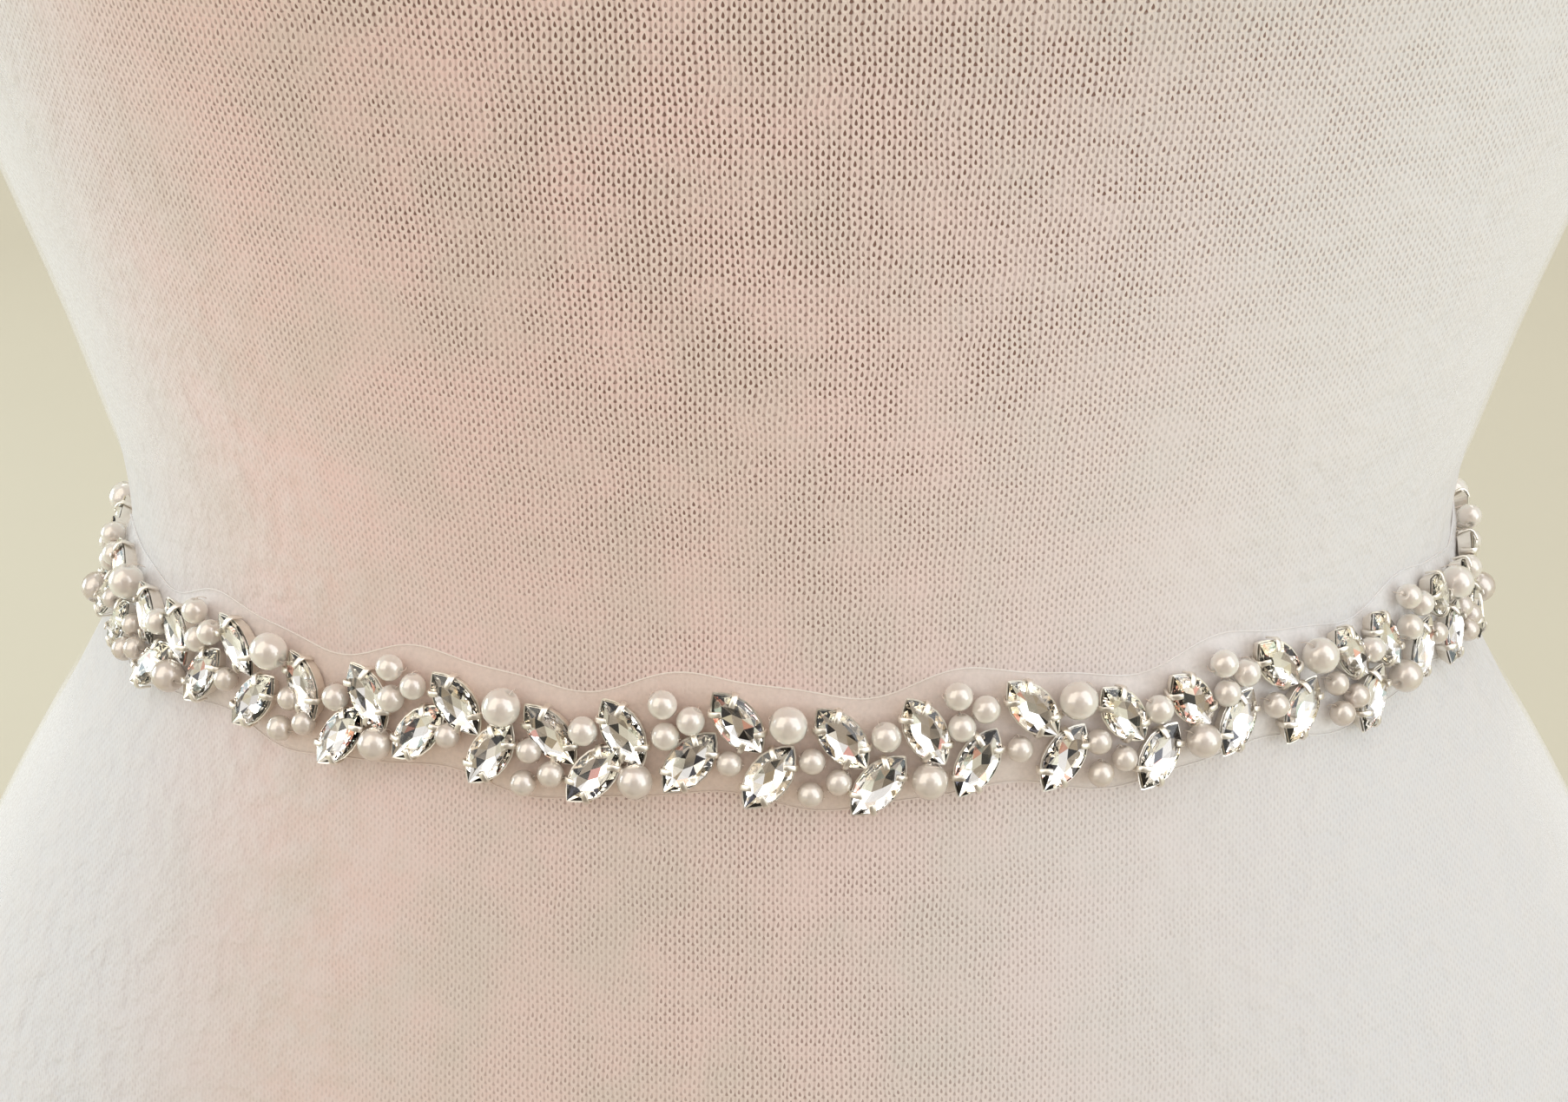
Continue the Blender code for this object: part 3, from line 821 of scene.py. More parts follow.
def pearl_material(settings):
    """A pearl: clear lustre over a creamy body, with a painted reflection that turns it a fixed rosy
    grey where it is looked into.
    """
    material, tree, sockets = new_material(
        "pearl", Metallic=0.12, IOR=1.7, Coat_Weight=1.0, Coat_Roughness=0.10, Coat_IOR=1.7,
        Subsurface_Weight=0.12, Subsurface_Radius=(0.0012, 0.0009, 0.0007))
    body = tree.coordinates()
    # Painted light and shade: pearls in the upper row are lighter, those in the lower row darker
    shade = tree.add("Attribute", attribute_name="shade").outputs["Fac"]
    warm = tree.blend(shade, settings.pearl, (1.0, 0.97, 0.90))
    # Painted reflection: a rosy grey where the pearl is looked into straight, turning to its body colour
    # towards its rim
    depth = tree.blend(tree.step(tree.facing(), 0.02, 0.6), (0.80, 0.71, 0.645), warm)
    tree.put(sockets["Base Color"], tree.drift(body, depth, (0.80, 0.72, 0.60), 180.0, 0.35))
    tree.put(sockets["Roughness"], tree.marks(body, 900.0, 0.14, 0.24)["Roughness"])
    add_bump(tree, sockets, tree.noise(body, 450.0, 2.0), 0.12, 0.0003)
    return material


def stone_material():
    """Clear cut glass."""
    material, tree, sockets = new_material(
        "cut_glass", Base_Color=(1.0, 1.0, 1.0, 1.0), Transmission_Weight=1.0, IOR=1.27,
        Coat_Weight=1.0, Coat_IOR=1.6, Coat_Roughness=0.0)
    marks = tree.marks(tree.coordinates(), 700.0, 0.0, 0.035)
    tree.put(sockets["Roughness"], marks["Roughness"])
    return material


def foil_material():
    """The mirror foil on a stone's back, which throws light back out in shards; each facet's tint is a
    painted flash or dark shard.
    """
    material, tree, sockets = new_material("stone_foil", Metallic=1.0)
    tint = tree.add("Attribute", attribute_name="fire").outputs["Color"]
    tree.put(sockets["Base Color"], tint)
    marks = tree.marks(tree.coordinates(), 1200.0, 0.01, 0.06)
    tree.put(sockets["Roughness"], marks["Roughness"])
    return material


def metal_material(name, colour, smooth, rough, dull):
    """Bright plated metal with fine marks, and duller in patches."""
    material, tree, sockets = new_material(name, Metallic=1.0)
    body = tree.coordinates()
    tree.put(sockets["Base Color"], tree.drift(body, colour, dull, 420.0, 0.6))
    marks = tree.marks(body, 2500.0, smooth, rough)
    tree.put(sockets["Roughness"], marks["Roughness"])
    add_bump(tree, sockets, marks["Height"], 0.15, 0.00003)
    return material


def satin_material(settings):
    """Satin: long floats along the ribbon, a soft lustre and fine ribs across."""
    material, tree, sockets = new_material(
        "satin", Anisotropic=0.6, Sheen_Weight=0.35, Sheen_Roughness=0.3,
        Specular_IOR_Level=0.6)
    place = tree.coordinates("UV")
    weave = tree.group("plain_weave", vector=place, pitch=0.00025, slub=0.4)
    floats = tree.noise(tree.stretched(place, (220.0, 3600.0, 1.0)), 1.0, 2.0)
    tree.put(sockets["Base Color"],
             tree.drift(place, settings.colour, (0.86, 0.81, 0.73), 60.0, 0.6))
    tree.put(sockets["Roughness"], tree.step(floats, 0.3, 0.7, 0.28, 0.42))
    height = tree.plus(tree.times(floats, 0.8), tree.times(weave["Height"], 0.15))
    add_bump(tree, sockets, height, 0.3, 0.00006)
    return material


def floor_material(settings):
    """A plain pale floor, very slightly uneven."""
    material, tree, sockets = new_material("pale_floor", Roughness=0.8, Specular_IOR_Level=0.2)
    body = tree.coordinates()
    darker = [part * 0.96 for part in settings.floor]
    tree.put(sockets["Base Color"], tree.drift(body, settings.floor, darker, 1.5, 0.5))
    add_bump(tree, sockets, tree.noise(body, 220.0, 3.0), 0.05, 0.0005)
    return material


def card_material():
    """Grey card with darker patches, which give a cut stone its few dark shards."""
    material, tree, sockets = new_material("dark_card", Roughness=0.9, Specular_IOR_Level=0.0)
    patches = tree.step(tree.noise(tree.coordinates(), 9.0, 2.0, 0.5), 0.40, 0.47)
    tree.put(sockets["Base Color"], tree.blend(patches, (0.03, 0.03, 0.032), (0.40, 0.34, 0.28)))
    return material


def arch_material():
    """A glowing card, brighter at its two sides than in its middle, and warmer on the left."""
    material, tree, sockets = new_material(
        "bright_arch", Base_Color=(0.0, 0.0, 0.0, 1.0), Emission_Strength=ARCH_STRENGTH)
    aside = tree.split(tree.coordinates())[0]
    left = tree.blend(tree.step(aside, -0.06, -0.30), (0.66, 0.59, 0.52), (1.0, 0.95, 0.84))
    glow = tree.blend(tree.step(aside, 0.06, 0.30), left, (0.97, 0.985, 1.0))
    tree.put(sockets["Emission Color"], glow)
    return material


# Mesh helpers. They work in mm; new_piece brings the mesh to metres.

def smooth(bm):
    for face in bm.faces:
        face.smooth = True


def new_object(name, bm, *materials):
    """An object in the scene, from a bmesh that it uses up."""
    mesh = bpy.data.meshes.new(name)
    bm.to_mesh(mesh)
    bm.free()
    for material in materials:
        mesh.materials.append(material)
    made = bpy.data.objects.new(name, mesh)
    bpy.context.scene.collection.objects.link(made)
    return made


def new_piece(name, bm, slot, *materials):
    """A piece of the object from a bmesh in mm. It rides on the only body."""
    bmesh.ops.scale(bm, vec=(MM, MM, MM), verts=bm.verts)
    piece = new_object(name, bm, *materials)
    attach(piece, "root")
    return piece


def flat_cloth(columns, rows, place, thickness):
    """Cloth laid flat: place(share along, share up) gives a point's x, y and z. Its UV map is
    its own flat size in metres."""
    bm = bmesh.new()
    centred = Matrix.Translation((0.5, 0.5, 0))
    bmesh.ops.create_grid(bm, x_segments=columns, y_segments=rows, size=0.5, matrix=centred)
    bm.normal_update()
    bmesh.ops.solidify(bm, geom=bm.faces[:], thickness=1)
    flat = bm.loops.layers.uv.new("flat")
    for vertex in bm.verts:
        x, y, z = place(vertex.co.x, vertex.co.y)
        vertex.co = (x, y, z + thickness * round(vertex.co.z))
    smooth(bm)
    for face in bm.faces:
        for loop in face.loops:
            loop[flat].uv = (loop.vert.co.x * MM, loop.vert.co.y * MM)
    return bm


def bend_round(bm):
    """Bends flat cloth round the waist."""
    for vertex in bm.verts:
        vertex.co = on_form(*vertex.co)


def tube(points, radius, sides=8, closed=False):
    """A round cord through the points, as a bmesh with closed ends."""
    curve = bpy.data.curves.new("cord", "CURVE")
    curve.dimensions = "3D"
    spline = curve.splines.new("POLY")
    spline.points.add(len(points) - 1)
    for knot, point in zip(spline.points, points):
        knot.co = (*point, 1)
    spline.use_cyclic_u = closed
    curve.bevel_depth = radius
    curve.bevel_resolution = max(0, sides // 2 - 2)
    curve.use_fill_caps = not closed
    holder = bpy.data.objects.new("cord", curve)
    mesh = bpy.data.meshes.new_from_object(holder)
    bm = bmesh.new()
    bm.from_mesh(mesh)
    bmesh.ops.remove_doubles(bm, verts=bm.verts, dist=radius * 0.01)
    bmesh.ops.recalc_face_normals(bm, faces=bm.faces)
    for face in bm.faces:
        face.smooth = len(face.verts) == 4
    bpy.data.objects.remove(holder)
    bpy.data.curves.remove(curve)
    bpy.data.meshes.remove(mesh)
    return bm


def smooth_line(points, steps):
    """A smooth curve through the points, which bends evenly at each."""
    line = []
    padded = [points[0], *points, points[-1]]
    for a, b, c, d in zip(padded, padded[1:], padded[2:], padded[3:]):
        for i in range(steps):
            t = i / steps
            line.append(
                0.5 * (2 * b + (c - a) * t + (2 * a - 5 * b + 4 * c - d) * t**2
                       + (3 * b - a - 3 * c + d) * t**3)
            )
    return [*line, points[-1]]


def pour(target, source, matrix=None, **values):
    """Adds one bmesh's geometry to another, placed by a matrix, and returns its new faces. values
    go to face numbers of the same name, made if they aren't there."""
    mesh = bpy.data.meshes.new("poured")
    copy = source.copy()
    if matrix is not None:
        bmesh.ops.transform(copy, matrix=matrix, verts=copy.verts)
    copy.to_mesh(mesh)
    copy.free()
    known = len(target.faces)
    target.from_mesh(mesh)
    bpy.data.meshes.remove(mesh)
    target.faces.ensure_lookup_table()
    fresh = target.faces[known:]
    for name, value in values.items():
        layer = target.faces.layers.float.get(name) or target.faces.layers.float.new(name)
        for face in target.faces[known:]:
            face[layer] = value
    return fresh


# The dress form

def form_rings(step):
    """Height and inset of each ring, rounded over at the base and at the neck's top."""
    turns = [math.pi / 2 * i / 5 for i in range(6)]
    edge = [
        (FORM_EDGE_RADIUS * (1 - math.sin(t)), FORM_EDGE_RADIUS * (1 - math.cos(t)))
        for t in turns
    ]
    count = round((FORM_HEIGHT - 4 * FORM_EDGE_RADIUS) / step)
    middle = np.linspace(2 * FORM_EDGE_RADIUS, FORM_HEIGHT - 2 * FORM_EDGE_RADIUS, count)
    return (
        [(rise, inset) for rise, inset in reversed(edge)]
        + [(height, 0.0) for height in middle]
        + [(FORM_HEIGHT - rise, inset) for rise, inset in edge]
    )


def build_cover(settings):
    """A loft through the form's rings, closed at the base and the neck. Its UV map counts
    stitches from the centre front and from the base."""
    sides, rings = settings.sides, form_rings(settings.ring_step / MM)
    bm = bmesh.new()
    centred = Matrix.Translation((0.5, 0.5, 0))
    bmesh.ops.create_grid(
        bm, x_segments=sides, y_segments=len(rings) - 1, size=0.5, matrix=centred)
    points, stitches = [], []
    climbed = 0.0
    for row, (height, inset) in enumerate(rings):
        around = [form_point(2 * math.pi * i / sides - math.pi, height, inset)
                  for i in range(sides + 1)]
        size = float(np.interp(height, STITCH_HEIGHTS, STITCH_SIZES))
        lengths = [(b - a).length for a, b in zip(around, around[1:])]
        run = np.concatenate([[0.0], np.cumsum(lengths)])
        if row:
            climbed += (around[sides // 2] - points[-1][sides // 2]).length / size
        points.append(around)
        stitches.append([((run[i] - run[sides // 2]) / size, climbed) for i in range(sides + 1)])
    layer = bm.loops.layers.uv.new("stitches")
    smooth(bm)
    for face in bm.faces:
        for loop in face.loops:
            x, y, _ = loop.vert.co
            loop[layer].uv = stitches[round(y * (len(rings) - 1))][round(x * sides)]
    for vertex in bm.verts:
        x, y, _ = vertex.co
        vertex.co = points[round(y * (len(rings) - 1))][round(x * sides)]
    bmesh.ops.remove_doubles(bm, verts=bm.verts, dist=0.001)
    ends = bmesh.ops.holes_fill(bm, edges=[e for e in bm.edges if e.is_boundary], sides=0)["faces"]
    for face in ends:
        for loop in face.loops:
            loop[layer].uv = loop.vert.co.xy / STITCH_SIZES[0]
    bmesh.ops.recalc_face_normals(bm, faces=bm.faces)
    return bm


def build_nap():
    """A closed band round the form on each side of the belt, from under the cover's skin to just
    outside it."""
    bm = bmesh.new()
    for low, high in NAP_BANDS:
        heights = np.linspace(low, high, round((high - low) / NAP_STEP) + 1)
        outer = [(h, NAP_REACH * ease(min(h - low, high - h), 0, NAP_RISE) - NAP_RIM)
                 for h in heights]
        rings = []
        for height, out in outer + [(h, NAP_INSIDE) for h in reversed(heights)]:
            ring = bmesh.ops.create_circle(bm, segments=NAP_SIDES, radius=1)["verts"]
            for i, vertex in enumerate(ring):
                angle = 2 * math.pi * i / NAP_SIDES
                vertex.co = form_point(angle, height) + form_normal(angle, height) * out
            rings.append(list({edge for vertex in ring for edge in vertex.link_edges}))
        for one, other in zip(rings, rings[1:] + rings[:1]):
            bmesh.ops.bridge_loops(bm, edges=one + other)
    bmesh.ops.recalc_face_normals(bm, faces=bm.faces)
    smooth(bm)
    return bm


# The organza

def organza_out(along, up, pucker):
    """How far out the organza lies: on the cover at its edges, higher under the beads."""
    from_edge = min(top_edge(along) - up, up - bottom_edge(along))
    pulled = noise.noise(Vector((along * 0.32, up * 0.30 + along * 0.12, 3.0)))
    ripple = noise.noise(Vector((along * 0.16, 9.0, up * 0.05)))
    raised = ease(from_edge, *ORGANZA_SLOPE)
    moved = pucker * (pulled * raised + 0.35 * ripple * (1 - raised))
    return ORGANZA_LIE + ORGANZA_LIFT * raised + moved


def build_organza(settings):
    length = STRIP_END_ALONG - STRIP_START_ALONG
    pucker = settings.pucker / MM

    def place(share_along, share_up):
        along = STRIP_START_ALONG + length * share_along
        up = bottom_edge(along) + (top_edge(along) - bottom_edge(along)) * share_up
        return along, up, organza_out(along, up, pucker)

    bm = flat_cloth(264, 20, place, settings.thickness / MM)
    bend_round(bm)
    return bm


def build_rolled_edge(settings):
    """The hem that runs all round the organza."""
    radius = settings.edge_radius / MM
    alongs = np.linspace(STRIP_START_ALONG, STRIP_END_ALONG, 265)
    middle = settings.thickness / MM / 2
    pucker = settings.pucker / MM

    def at(along, up):
        return on_form(along, up, organza_out(along, up, pucker) + middle)

    top = [at(a, top_edge(a)) for a in alongs]
    bottom = [at(a, bottom_edge(a)) for a in alongs]
    return tube(top + bottom[::-1], radius, 6, closed=True)


# Pearls

def pearl_shape():
    """A pearl of radius 1 with its drill hole along x."""
    bm = bmesh.new()
    bmesh.ops.create_uvsphere(bm, u_segments=20, v_segments=12, radius=1.0,
                              matrix=Matrix.Rotation(math.pi / 2, 4, "Y"))
    for vertex in bm.verts:
        if abs(vertex.co.x) > 0.999:
            vertex.co.x *= 0.55
    smooth(bm)
    return bm


def sewn_beads(kind, table, draw):
    """Each bead of every repeat, with its place along the belt and up as it was sewn on."""
    for number in range(FIRST_REPEAT, FIRST_REPEAT + REPEATS):
        for index, bead in enumerate(table):
            leader = SEWN_TOGETHER.get(index, index) if kind == "pearl" else index
            shifts = SEWN_SHIFTS[f"{kind}_{leader}"]
            along, up = draw.uniform(-0.5, 0.5), draw.uniform(-0.7, 0.1)
            if number in shifts:
                along, up = shifts[number]
            yield bead, bead.along + along + number * REPEAT, bead.up + up


def cloth_top(along, up):
    """The organza's outer side under a bead."""
    return organza_out(along, up, 0.0) + 0.15


def build_pearls(settings):
    draw = random.Random(settings.seed)
    shape = pearl_shape()
    pearls, threads = bmesh.new(), bmesh.new()
    for pearl, along, up in sewn_beads("pearl", PEARLS, draw):
        size = pearl.radius * draw.uniform(0.97, 1.03)
        turn = draw.uniform(0, math.pi)
        floor = cloth_top(along, up)
        place = place_on_belt(along, up, floor + size * 0.99)
        turned = place @ Matrix.Rotation(turn, 4, "Z")
        # Each pearl's tone: a little at random, and mostly painted light and shade, lighter in the upper
        # row and darker in the lower
        pour(pearls, shape, turned @ Matrix.Diagonal((size, size * 0.985, size, 1)),
             shade=0.25 * draw.random() + 0.75 * ease(up, -3.0, 3.0))
        for side in (-1, 1):
            path = [Vector((side * x * size, 0, z * size))
                    for x, z in ((0.5, 0), (0.95, 0.0), (1.04, -0.2), (1.0, -0.6), (0.8, -1.0))]
            line = [turned @ point for point in smooth_line(path, 2)]
            thread = tube(line, PEARL_THREAD, 4)
            pour(threads, thread)
            thread.free()
    shape.free()
    return pearls, threads


# Stones and their settings

def oval_share(place):
    """A pointed oval's width at a place from tip to tip, as a share of its widest."""
    return max(1 - abs(place) ** OVAL_TAPER, 0.0) ** OVAL_FULLNESS


def outline(places, half_length, half_width):
    """Points of a pointed oval, round it once: its tips lie at -1 and 1."""
    upper = [(x * half_length, oval_share(x) * half_width) for x in places]
    lower = [(x * half_length, -oval_share(x) * half_width) for x in reversed(places)]
    return upper + [point for point in lower if abs(point[1]) > 1e-6]


def stone_shape():
    """A cut stone: flat table, sloping crown and a pointed back under the girdle."""
    bm = bmesh.new()
    for ring in STONE_RINGS:
        long = (CUP_HALF_LENGTH - CUP_WALL) * ring.size
        wide = (CUP_HALF_WIDTH - CUP_WALL) * ring.size
        for x, y in outline(ring.places, long, wide):
            bm.verts.new((x, y, ring.height))
    bmesh.ops.convex_hull(bm, input=bm.verts)
    loose = [v for v in bm.verts if not v.link_faces]
    bmesh.ops.delete(bm, geom=loose, context="VERTS")
    bmesh.ops.dissolve_limit(bm, angle_limit=math.radians(0.5), verts=bm.verts, edges=bm.edges)
    bmesh.ops.recalc_face_normals(bm, faces=bm.faces)
    for face in bm.faces:
        face.material_index = int(face.calc_center_median().z < STONE_GIRDLE + 0.05)
    return bm


def draw_face(bm, face, share, lift):
    """Extrudes a face, scales the copy level and lifts it. Returns the copy."""
    made = bmesh.ops.extrude_face_region(bm, geom=[face])["geom"]
    moved = [part for part in made if isinstance(part, bmesh.types.BMVert)]
    bmesh.ops.scale(bm, vec=(share, share, 1), verts=moved)
    bmesh.ops.translate(bm, vec=(0, 0, lift), verts=moved)
    return next(part for part in made if isinstance(part, bmesh.types.BMFace))


def cup_shape():
    """The cup of a setting, with a claw bent over the stone at four places of its rim."""
    bm = bmesh.new()
    places = tuple(math.sin(math.pi / 2 * i / 5) for i in range(-5, 6))
    long, wide = CUP_HALF_LENGTH * CUP_TAPER, CUP_HALF_WIDTH * CUP_TAPER
    floor = [bm.verts.new((x, y, CUP_FOOT)) for x, y in outline(places, long, wide)]
    face = bm.faces.new(floor)
    bmesh.ops.recalc_face_normals(bm, faces=[face])
    top = draw_face(bm, face, 1 / CUP_TAPER, CUP_TOP - CUP_FOOT)
    bmesh.ops.inset_region(bm, faces=[top], thickness=CUP_WALL, use_even_offset=True)
    draw_face(bm, top, CUP_TAPER, CUP_FLOOR - CUP_TOP)
    bmesh.ops.delete(bm, geom=[top], context="FACES_ONLY")
    bmesh.ops.recalc_face_normals(bm, faces=bm.faces)
    claw = claw_shape()
    for x in CLAW_PLACES:
        for side in (-1, 1):
            place = Vector((x * CUP_HALF_LENGTH, side * oval_share(x) * CUP_HALF_WIDTH, 0))
            fall = (oval_share(x + 0.02) - oval_share(x - 0.02)) / 0.04
            slope = fall * CUP_HALF_WIDTH / CUP_HALF_LENGTH
            outward = Vector((-slope, side, 0)).normalized()
            forward = Vector((0, 0, 1)).cross(outward) * -1
            turned = Matrix((forward, outward, (0, 0, 1))).transposed().to_4x4()
            pour(bm, claw, Matrix.Translation(place) @ turned)
    claw.free()
    return bm


def claw_shape():
    """A flat claw: it climbs the cup's wall and bends in over the stone. y points outwards."""
    bm = bmesh.new()
    previous = None
    for i, step in enumerate(CLAW_STEPS):
        after = CLAW_STEPS[min(i + 1, len(CLAW_STEPS) - 1)]
        before = CLAW_STEPS[max(i - 1, 0)]
        run = Vector((0, after.out - before.out, after.height - before.height)).normalized()
        away = Vector((0, run.z, -run.y)) * CLAW_THICK
        middle = Vector((0, step.out, step.height))
        wide = Vector((step.half_width, 0, 0))
        corners = [middle - wide, middle + wide,
                   middle + wide * 0.8 + away, middle - wide * 0.8 + away]
        ring = [bm.verts.new(corner) for corner in corners]
        edges = [bm.edges.new((ring[k], ring[(k + 1) % 4])) for k in range(4)]
        if previous is None:
            bm.faces.new(ring)
        else:
            bmesh.ops.bridge_loops(bm, edges=previous + edges)
        previous = edges
    bm.faces.new(ring)
    bmesh.ops.recalc_face_normals(bm, faces=bm.faces)
    rim = [e for e in bm.edges if len(e.link_faces) == 2 and e.calc_face_angle() > 0.9]
    bmesh.ops.bevel(bm, geom=rim, offset=0.07, affect="EDGES", segments=1, profile=0.5, material=-1)
    smooth(bm)
    return bm


def build_stones(settings):
    """Each stone in its cup. Every facet of its back gets its own painted flash of colour."""
    draw = random.Random(settings.seed + 1)
    stone, cup = stone_shape(), cup_shape()
    stones, cups = bmesh.new(), bmesh.new()
    fire = stones.loops.layers.float_color.new("fire")
    for bead, along, up in sewn_beads("stone", STONES, draw):
        place = place_on_belt(along, up, cloth_top(along, up) + 0.05)
        sway = settings.sway
        tip = Matrix.Rotation(math.radians(bead.turn) + draw.uniform(-sway, sway), 4, "Z")
        for axis in "XY":
            tip = tip @ Matrix.Rotation(draw.uniform(-sway, sway), 4, axis)
        pour(cups, cup, place @ tip)
        for face in pour(stones, stone, place @ tip):
            # Painted reflection: this facet's flash of colour or dark shard
            colour = draw.choices([c for c, _ in PAINTED_FLASHES], [n for _, n in PAINTED_FLASHES])[0]
            for loop in face.loops:
                loop[fire] = rgba(colour)
    stone.free()
    cup.free()
    return stones, cups


# Ribbons and closure

def build_ribbon(sewn, free, settings):
    """A satin ribbon from its sewn end, raised where it lies over the organza, to its free end."""
    start, stop = sorted((sewn, free))
    towards = 1 if free > sewn else -1
    columns = round((stop - start) / 1.6)

    def place(share_along, share_up):
        along = start + (stop - start) * share_along
        up = RIBBON_WIDTH * (share_up - 0.5)
        from_sewn = (along - sewn) * towards
        lift = RIBBON_LIFT * ease(from_sewn, *RIBBON_SLOPE)
        selvedge = RIBBON_SELVEDGE * (1 - ease(RIBBON_WIDTH / 2 - abs(up), 0.2, 0.8))
        ripple = noise.noise(Vector((along * 0.05, up * 0.10, 5.0))) * 0.22
        return along, up, RIBBON_LIE + lift + selvedge + ripple

    bm = flat_cloth(columns, 12, place, settings.thickness / MM)
    bend_round(bm)
    return bm


def build_wire(bends, level):
    lying = CLEARANCE + CLOTH + SEAM_GAP + HOOK_WIRE
    points = smooth_line([
        on_form(HALF_GIRTH + bend.past, level + bend.up, lying + bend.lift) for bend in bends
    ], 6)
    return tube(points, HOOK_WIRE, 12)


def build_stitch(sewn, level):
    """A thread loop over a wire, from the ribbon and back to it."""
    path = [
        on_form(HALF_GIRTH + sewn.past + sewn.half_run * x,
                level + sewn.up + sewn.half_rise * x, out)
        for x, out in ((-1, 1.15), (-0.7, 2.0), (0, 2.62), (0.7, 2.0), (1, 1.15))
    ]
    return tube(smooth_line(path, 3), CLOSURE_THREAD, 6)


# The stage, in metres

def build_floor():
    """The floor, which curves up at its far side into the backdrop."""
    bm = bmesh.new()
    front = [bm.verts.new((side * FLOOR_SIDE, -FLOOR_SIDE, 0.0)) for side in (-1, 1)]
    moved = [bm.edges.new(front)]
    for step in FLOOR_STEPS:
        made = bmesh.ops.extrude_edge_only(bm, edges=moved)["geom"]
        moved = [part for part in made if isinstance(part, bmesh.types.BMEdge)]
        bmesh.ops.translate(
            bm, vec=step, verts=[part for part in made if isinstance(part, bmesh.types.BMVert)])
    bmesh.ops.recalc_face_normals(bm, faces=bm.faces)
    smooth(bm)
    return bm


def build_card():
    bm = bmesh.new()
    rows = [[bm.verts.new((side * CARD_WIDTH / 2, y, z)) for side in (-1, 1)]
            for y, z in CARD_BENDS]
    for low, high in zip(rows, rows[1:]):
        bm.faces.new((*low, *reversed(high)))
    return bm


def camera_axes():
    """The camera's right, up and backward directions, before it leans."""
    yaw, climb = math.radians(CAMERA_YAW), math.radians(CAMERA_CLIMB)
    back = Vector((math.sin(yaw) * math.cos(climb), -math.cos(yaw) * math.cos(climb),
                   math.sin(climb)))
    right = Vector((0, 0, 1)).cross(back).normalized()
    return right, back.cross(right), back


def build_arch(middle, right, up, back):
    bm = bmesh.new()
    bmesh.ops.create_grid(bm, x_segments=20, y_segments=4, size=0.5)
    for vertex in bm.verts:
        aside = math.radians(2 * ARCH_SIDE * vertex.co.x)
        away = math.radians(ARCH_NEAR + (ARCH_FAR - ARCH_NEAR) * (vertex.co.y + 0.5))
        leant = right * math.sin(aside) + up * math.cos(aside)
        vertex.co = middle + (back * math.cos(away) + leant * math.sin(away)) * ARCH_DISTANCE
    return bm


def place_lamp(lamp, share, middle):
    data = bpy.data.lights.new(lamp.name, "AREA")
    data.shape = "RECTANGLE"
    data.size, data.size_y = lamp.wide, lamp.tall
    data.energy, data.color = lamp.power * share, lamp.colour
    light = bpy.data.objects.new(lamp.name, data)
    light.location = lamp.place
    light.rotation_euler = (Vector(lamp.place) - middle).to_track_quat("Z", "Y").to_euler()
    bpy.context.scene.collection.objects.link(light)


def place_camera(settings, right, up, back):
    roll = math.radians(CAMERA_ROLL)
    right, up = (right * math.cos(roll) + up * math.sin(roll),
                 up * math.cos(roll) - right * math.sin(roll))
    turned = Matrix((right, up, back)).transposed().to_4x4()
    lens = bpy.data.cameras.new("camera")
    lens.sensor_fit, lens.sensor_width, lens.lens = "HORIZONTAL", 36.0, settings.lens
    lens.clip_start = 0.01
    camera = bpy.data.objects.new("camera", lens)
    place = Vector(CAMERA_TARGET) + back * settings.distance
    camera.matrix_world = Matrix.Translation(place) @ turned
    bpy.context.scene.collection.objects.link(camera)
    bpy.context.scene.camera = camera


# Operators

def belt_settings():
    return bpy.context.scene.bridal_belt


class BELT_OT_stage(bpy.types.Operator):
    """Lay the floor and backdrop, set the lights and place the camera"""

    bl_idname = "belt.stage"
    bl_label = "Stage"

    def execute(self, context):
        settings = belt_settings().stage
        new_object("floor", build_floor(), floor_material(settings))

        middle = Vector((0, 0, WAIST_HEIGHT * MM))
        for lamp in LAMPS:
            place_lamp(lamp, settings.light, middle)

        axes = camera_axes()
        card = new_object("dark_card", build_card(), card_material())
        arch = new_object("bright_arch", build_arch(middle + Vector(ARCH_SHIFT), *axes),
                          arch_material())
        for mirrored in (card, arch):
            mirrored.visible_camera = mirrored.visible_diffuse = mirrored.visible_shadow = False

        world = bpy.data.worlds.new("even_light")
        world.use_nodes = True
        background = world.node_tree.nodes["Background"]
        background.inputs["Color"].default_value = WORLD_COLOUR
        background.inputs["Strength"].default_value = settings.ambient
        context.scene.world = world
        context.scene.view_settings.view_transform = "Standard"
        place_camera(settings, *axes)
        return {"FINISHED"}


class BELT_OT_cover(bpy.types.Operator):
    """Build the dress form's knitted cover"""

    bl_idname = "belt.cover"
    bl_label = "Knitted cover"

    def execute(self, context):
        settings = belt_settings().knit
        piece = new_piece("knitted_cover", build_cover(settings), "form_cover",
                          knit_material(settings))
        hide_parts("dress_form")
        nap = new_piece("raised_nap", build_nap(), "form_cover", nap_material())
        nap.visible_shadow = nap.visible_diffuse = nap.visible_glossy = False
        return {"FINISHED"}


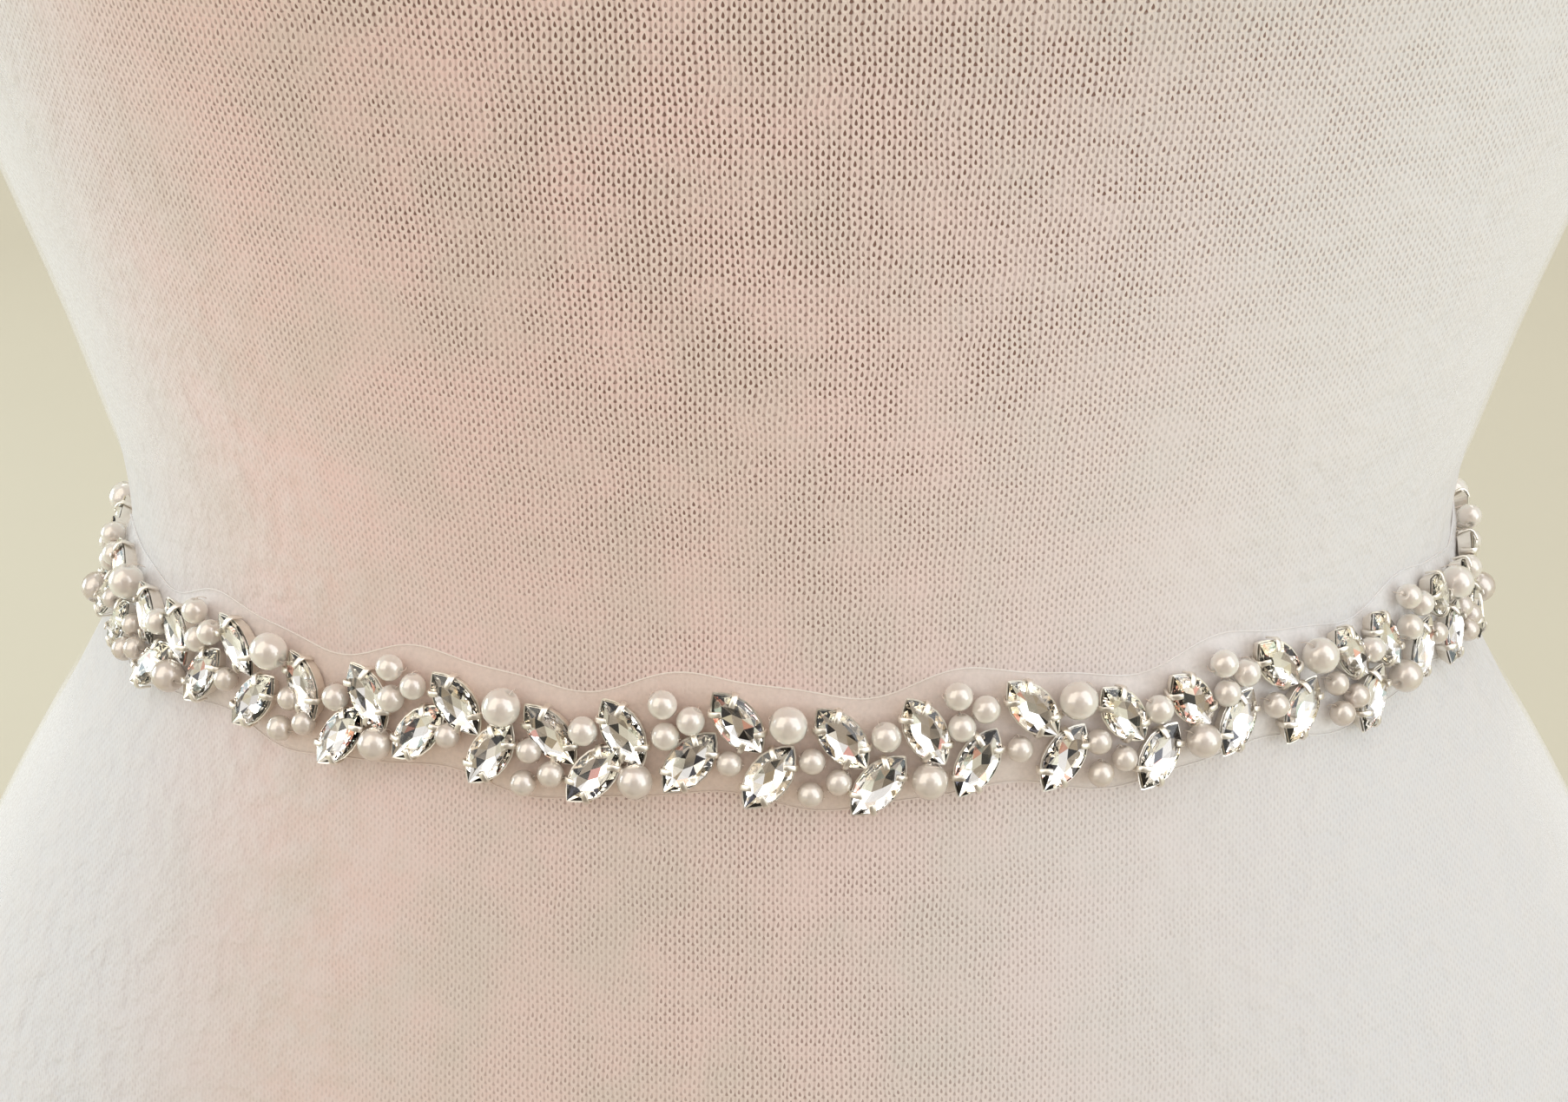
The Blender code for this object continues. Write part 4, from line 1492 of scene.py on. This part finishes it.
class BELT_OT_beading(bpy.types.Operator):
    """Build the organza strip with its rolled edge, pearls, set stones and threads"""

    bl_idname = "belt.beading"
    bl_label = "Beaded organza strip"

    def execute(self, context):
        settings = belt_settings()
        cloth = settings.organza
        organza = new_piece("organza_strip", build_organza(cloth), "organza",
                            organza_material(cloth))
        edge = new_piece("rolled_edge", build_rolled_edge(cloth), "organza", hem_material())
        for sheer in (organza, edge):
            sheer.visible_shadow = sheer.visible_diffuse = False
        pearls, threads = build_pearls(settings.beads)
        pearls = new_piece("pearls", pearls, "pearl", pearl_material(settings.beads))
        threads = new_piece("pearl_threads", threads, "thread", thread_material())
        stones, cups = build_stones(settings.beads)
        stones = new_piece("stones", stones, "stone", stone_material(), foil_material())
        silver = metal_material("silver_plate", settings.beads.silver, 0.28, 0.5,
                                (0.80, 0.74, 0.66))
        cups = new_piece("stone_settings", cups, "setting", silver)
        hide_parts(*[f"beaded_strip_{i + 1}" for i in range(REPEATS)])
        return {"FINISHED"}


class BELT_OT_ribbons(bpy.types.Operator):
    """Build the satin ribbons at both ends of the strip"""

    bl_idname = "belt.ribbons"
    bl_label = "Satin ribbons"

    def execute(self, context):
        settings = belt_settings().ribbon
        satin = satin_material(settings)
        opening = HALF_GIRTH - BACK_OPENING / 2
        for name, sewn, free in (
            ("ribbon_right_hand", STRIP_START_ALONG + RIBBON_OVERLAP, -opening),
            ("ribbon_left_hand", STRIP_END_ALONG - RIBBON_OVERLAP, opening),
        ):
            piece = new_piece(f"satin_{name}", build_ribbon(sewn, free, settings), "satin", satin)
            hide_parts(name)
        return {"FINISHED"}


class BELT_OT_closure(bpy.types.Operator):
    """Build the hooks and eyes at the centre back and the stitches that hold them"""

    bl_idname = "belt.closure"
    bl_label = "Hooks and eyes"

    def execute(self, context):
        settings = belt_settings().ribbon
        wire = metal_material("nickel_wire", settings.wire, 0.16, 0.34, (0.42, 0.42, 0.42))
        eye = [*(bend._replace(up=-bend.up) for bend in EYE_HALF), *reversed(EYE_HALF)]
        stitches = bmesh.new()
        for place, level in HOOK_LEVELS.items():
            for kind, bends in (("eye", eye), ("hook", HOOK)):
                piece = new_piece(f"wire_{kind}_{place}", build_wire(bends, level), "wire", wire)
                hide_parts(f"{kind}_{place}")
            for sewn in STITCHES:
                stitch = build_stitch(sewn, level)
                pour(stitches, stitch)
                stitch.free()
        new_piece("closure_stitches", stitches, "thread", thread_material())
        return {"FINISHED"}


OPERATORS = (BELT_OT_stage, BELT_OT_cover, BELT_OT_beading, BELT_OT_ribbons, BELT_OT_closure)


class BELT_PT_panel(bpy.types.Panel):
    """Builds the belt's pieces one by one"""

    bl_idname = "BELT_PT_panel"
    bl_label = "Bridal belt"
    bl_space_type = "VIEW_3D"
    bl_region_type = "UI"
    bl_category = "Bridal belt"

    def draw(self, context):
        settings = context.scene.bridal_belt
        for name in ("knit", "organza", "beads", "ribbon", "stage"):
            box = self.layout.box()
            group = getattr(settings, name)
            for key in type(group).__annotations__:
                box.prop(group, key)
        for operator in OPERATORS:
            self.layout.operator(operator.bl_idname)


CLASSES = (KnitSettings, OrganzaSettings, BeadSettings, RibbonSettings, StageSettings,
           BeltSettings, *OPERATORS, BELT_PT_panel)


def register():
    for cls in CLASSES:
        bpy.utils.register_class(cls)
    bpy.types.Scene.bridal_belt = bpy.props.PointerProperty(type=BeltSettings)


def unregister():
    del bpy.types.Scene.bridal_belt
    for cls in reversed(CLASSES):
        bpy.utils.unregister_class(cls)


def main():
    register()
    make_groups()
    bpy.ops.belt.stage()
    bpy.ops.belt.cover()
    bpy.ops.belt.beading()
    bpy.ops.belt.ribbons()
    bpy.ops.belt.closure()


if __name__ == "__main__":
    main()
